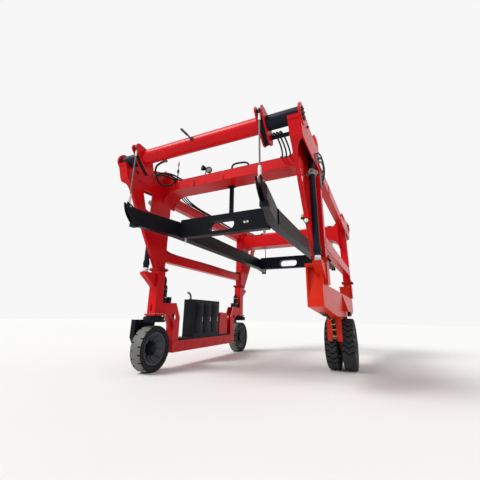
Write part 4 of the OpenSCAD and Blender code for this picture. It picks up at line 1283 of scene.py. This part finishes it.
class CARRIER_OT_power_pack(Operator):
    """Adds doors, louvres and handles to the hood, the exhaust, and the tank's fittings"""
    bl_idname = "carrier.power_pack"
    bl_label = "Power pack"

    def execute(self, context):
        low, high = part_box("power_pack_hood")
        panels, bright = [], []
        for face, out in ((low.x, -1), (high.x, 1)):
            tilt = Matrix.Rotation(out * -0.5, 4, "Y") @ Matrix.Scale(out, 4, RIGHT)
            for y in (low.y + 0.06 + k * 0.5 for k in range(3)):
                panels.append(block((face - out * 0.004, y, low.z + 0.1),
                                    (face + out * 0.012, y + 0.46, high.z - 0.1), 0.006))
                panels += copies(block(ORIGIN, (0.03, 0.34, 0.012)),
                                 [shift_move(face + out * 0.006, y + 0.06, high.z - 0.2 - j * 0.05) @ tilt
                                  for j in range(8)])
                bright.append(block((face + out * 0.012 - 0.012, y + 0.39, low.z + 0.45),
                                    (face + out * 0.012 + 0.012, y + 0.42, low.z + 0.6), 0.005))
        gather(panels, "hood_doors", "black_enamel", "left_frame")
        gather(bright, "door_handles", "steel", "left_frame")
        foot = Vector((low.x + 0.1, low.y + 0.2, high.z))
        bends = [foot + Vector((0, y, z)) for y, z in ((0, -0.01), (0, 0.1), (-0.06, 0.19), (-0.18, 0.22))]
        pipe = [hose(bends, 0.035, 16), turned([(0, 0.06), (0.02, 0.062), (0.03, 0.036)], foot, UP, 28)]
        gather(pipe, "exhaust", "cast_grey", "left_frame")
        low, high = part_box("hydraulic_tank")
        hatch = Vector(((low.x + high.x) / 2, high.y - 0.2, high.z))
        fittings = [turned([(0, 0.045), (0.01, 0.05), (0.05, 0.05), (0.06, 0.04), (0.06, 0.001)],
                           (low.x + 0.1, low.y + 0.15, high.z), UP, 24),
                    turned([(0, 0.1), (0.012, 0.102), (0.02, 0.09), (0.03, 0.001)], hatch, UP, 36)]
        fittings += bolt_ring(8, 0.085, 0.006, hatch + UP * 0.012, UP)
        fittings.append(block((low.x - 0.012, low.y + 0.25, low.z + 0.2),
                              (low.x + 0.002, low.y + 0.3, low.z + 0.5)))
        gather(fittings, "tank_fittings", "steel", "left_frame")
        return {"FINISHED"}


class CARRIER_OT_steering(Operator):
    """Adds the slewing rings, motors, arm bolts and brake hoses of the steered wheels"""
    bl_idname = "carrier.steering"
    bl_label = "Steering"

    def execute(self, context):
        for name, end in (("near", -1), ("far", 1)):
            x, y, body = LEFT_X, end * LEG_Y, name + "_steer"
            parts = [ring([(1.305, 0.21), (1.305, 0.275), (1.31, 0.28), (1.34, 0.28), (1.345, 0.275),
                           (1.345, 0.21)], (x, y, 0), UP, 56)]
            parts += bolt_ring(20, 0.255, 0.009, (x, y, 1.3455), UP)
            parts += bolt_ring(8, 0.11, 0.012, (x - 0.425, y, 0.565), -RIGHT)
            parts.append(turned([(0, 0.09), (0.02, 0.094), (0.1, 0.09), (0.11, 0.07)],
                                (x - 0.31, y - end * 0.14, 1.275), UP, 28))
            parts.append(block((x - 0.46, y - 0.13, 1.0), (x - 0.424, y + 0.13, 1.2), 0.008))
            gather(parts, name + "_slewing_ring", "black_enamel", body)
            route = [(0.31, 0.2, 1.38), (0.34, 0.3, 1.33), (0.42, 0.33, 1.2), (0.45, 0.25, 0.95),
                     (0.44, 0.12, 0.72), (0.43, 0.0, 0.66)]
            brake_hose = hose([(x - out, y - end * along, z) for out, along, z in route], 0.012, 10)
            gather([brake_hose], name + "_brake_hose", "hose_rubber", body)
        return {"FINISHED"}


class CARRIER_OT_left_frame(Operator):
    """Fills the necks' corners over the steered wheels and adds the accumulators"""
    bl_idname = "carrier.left_frame"
    bl_label = "Left frame trim"

    def execute(self, context):
        corner_y, corner_z, radius, rim_width = 1.9205, 1.4245, 0.4, 0.016
        turns = [math.pi / 2 * k / 12 for k in range(13)]
        arc = [(corner_y + radius - radius * math.cos(a), corner_z - radius + radius * math.sin(a))
               for a in turns]
        outside = [(y - rim_width * math.cos(a), z + rim_width * math.sin(a))
                   for (y, z), a in zip(arc, turns)]
        corners = [plate([(corner_y, corner_z), *arc], "X", x, 0.024, 0.002)
                   for x in (LEFT_X - 0.13, LEFT_X + 0.106)]
        corners.append(plate(arc + outside[::-1], "X", LEFT_X - 0.129, 0.258, 0.002))
        gather(mirrored(corners, BOTH_ENDS), "neck_corners", "red_enamel", "left_frame")
        floor_z, bottle_y, column_y = 1.4495, LEG_Y - 0.32, LEG_Y - 0.1453
        dark = [turned([(0, 0.07), (0.02, 0.085), (0.05, 0.088), (0.716, 0.088), (0.766, 0.07), (0.796, 0.03),
                        (0.856, 0.028)], (LEFT_X, bottle_y, floor_z), UP),
                block((LEFT_X - 0.1, LEG_Y - 0.56, floor_z), (LEFT_X + 0.1, LEG_Y - 0.44, 1.9), 0.01),
                block((LEFT_X - 0.09, LEG_Y - 0.2, 1.78), (LEFT_X + 0.1, column_y, 1.86), 0.006)]
        gather(mirrored(dark, BOTH_ENDS), "accumulators", "navy_enamel", "left_frame")
        bands = []
        for z in (1.866, 2.086):
            bands.append(ring([(0, 0.087), (0, 0.098), (0.03, 0.098), (0.03, 0.087)],
                              (LEFT_X, bottle_y, z), UP, 32))
            bands.append(block((LEFT_X - 0.02, LEG_Y - 0.225, z), (LEFT_X + 0.02, column_y, z + 0.03)))
        gather(mirrored(bands, BOTH_ENDS), "accumulator_bands", "zinc_grey", "left_frame")
        return {"FINISHED"}


class CARRIER_OT_right_frame(Operator):
    """Adds the right frame's bracket and seams, and the side beams' joints"""
    bl_idname = "carrier.right_frame"
    bl_label = "Right frame trim"

    def execute(self, context):
        bracket = block(at(2.38, 0.6, 1.45), at(2.47, 0.76, 1.572), 0.008)
        gather([bracket], "skirt_bracket", "black_enamel", "right_frame")
        inner, outer = RIGHT_X - 0.264, RIGHT_X + 0.064
        seams = [seam([(x, end * (LEG_Y + 0.401), 1.618)
                       for x in (inner + 0.002, RIGHT_X - 0.1, outer - 0.002)]) for end in (-1, 1)]
        under = [(-LEG_Y - 0.4, 1.615), (-1.25, 1.43), (2.05, 1.43), (LEG_Y + 0.4, 1.615)]
        for x in (inner, outer):
            for (y0, z0), (y1, z1) in zip(under, under[1:]):
                seams.append(seam([(x, y0 + (y1 - y0) * t, z0 + (z1 - z0) * t + 0.004) for t in (0, 0.5, 1)]))
        seams.append(seam([(outer, y, 2.068) for y in (-2.3, -1.0, 0.0, 1.0, 2.3)]))
        gather(seams, "right_beam_seams", "orange_enamel", "right_frame")
        joints = []
        for side, end in CORNERS:
            joints += [bolt_head(0.012, at(side * (LEG_X + 0.1228), end * y, z), (side, 0, 0))
                       for z in (4.74, 4.88) for y in (1.24, 1.32)]
            joints.append(block(at(side * (LEG_X + 0.1222), end * 1.28 - 0.09, 4.67),
                                at(side * (LEG_X + 0.1302), end * 1.28 + 0.09, 4.95), 0.003))
        # The joint plates and their bolts take the darker red: painted shade
        gather(joints, "side_beam_joints", "red_enamel_painted_shade", "gantry")
        return {"FINISHED"}


OPERATORS = [CARRIER_OT_studio, CARRIER_OT_finishes, CARRIER_OT_solid_tyres, CARRIER_OT_drive_tyres,
             CARRIER_OT_wheel_hubs, CARRIER_OT_flange_bolts, CARRIER_OT_head_trim, CARRIER_OT_cylinders,
             CARRIER_OT_hoses, CARRIER_OT_slings, CARRIER_OT_floodlights, CARRIER_OT_beacon,
             CARRIER_OT_leg_lamp, CARRIER_OT_stick_lamp, CARRIER_OT_crossbeam_fittings, CARRIER_OT_spreader,
             CARRIER_OT_power_pack, CARRIER_OT_steering, CARRIER_OT_left_frame, CARRIER_OT_right_frame]


class CARRIER_PT_panel(Panel):
    """Lists the carrier's pieces in the sidebar"""
    bl_idname = "CARRIER_PT_panel"
    bl_label = "Straddle carrier"
    bl_space_type = "VIEW_3D"
    bl_region_type = "UI"
    bl_category = "Carrier"

    def draw(self, context):
        for group_name in GROUPS:
            group = getattr(context.scene, group_name)
            for name in group.__annotations__:
                self.layout.prop(group, name)
        for operator in OPERATORS:
            self.layout.operator(operator.bl_idname)


GROUPS = {"carrier_colours": CarrierColours, "carrier_sizes": CarrierSizes, "carrier_studio": CarrierStudio}


def register():
    for kind in [*GROUPS.values(), *OPERATORS, CARRIER_PT_panel]:
        bpy.utils.register_class(kind)
    for name, group in GROUPS.items():
        setattr(bpy.types.Scene, name, PointerProperty(type=group))


def unregister():
    for name in GROUPS:
        delattr(bpy.types.Scene, name)
    for kind in [CARRIER_PT_panel, *reversed(OPERATORS), *reversed(GROUPS.values())]:
        bpy.utils.unregister_class(kind)


def main():
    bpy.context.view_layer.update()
    register()
    for operator in OPERATORS:
        getattr(bpy.ops.carrier, operator.bl_idname.split(".")[1])()


if __name__ == "__main__":
    main()
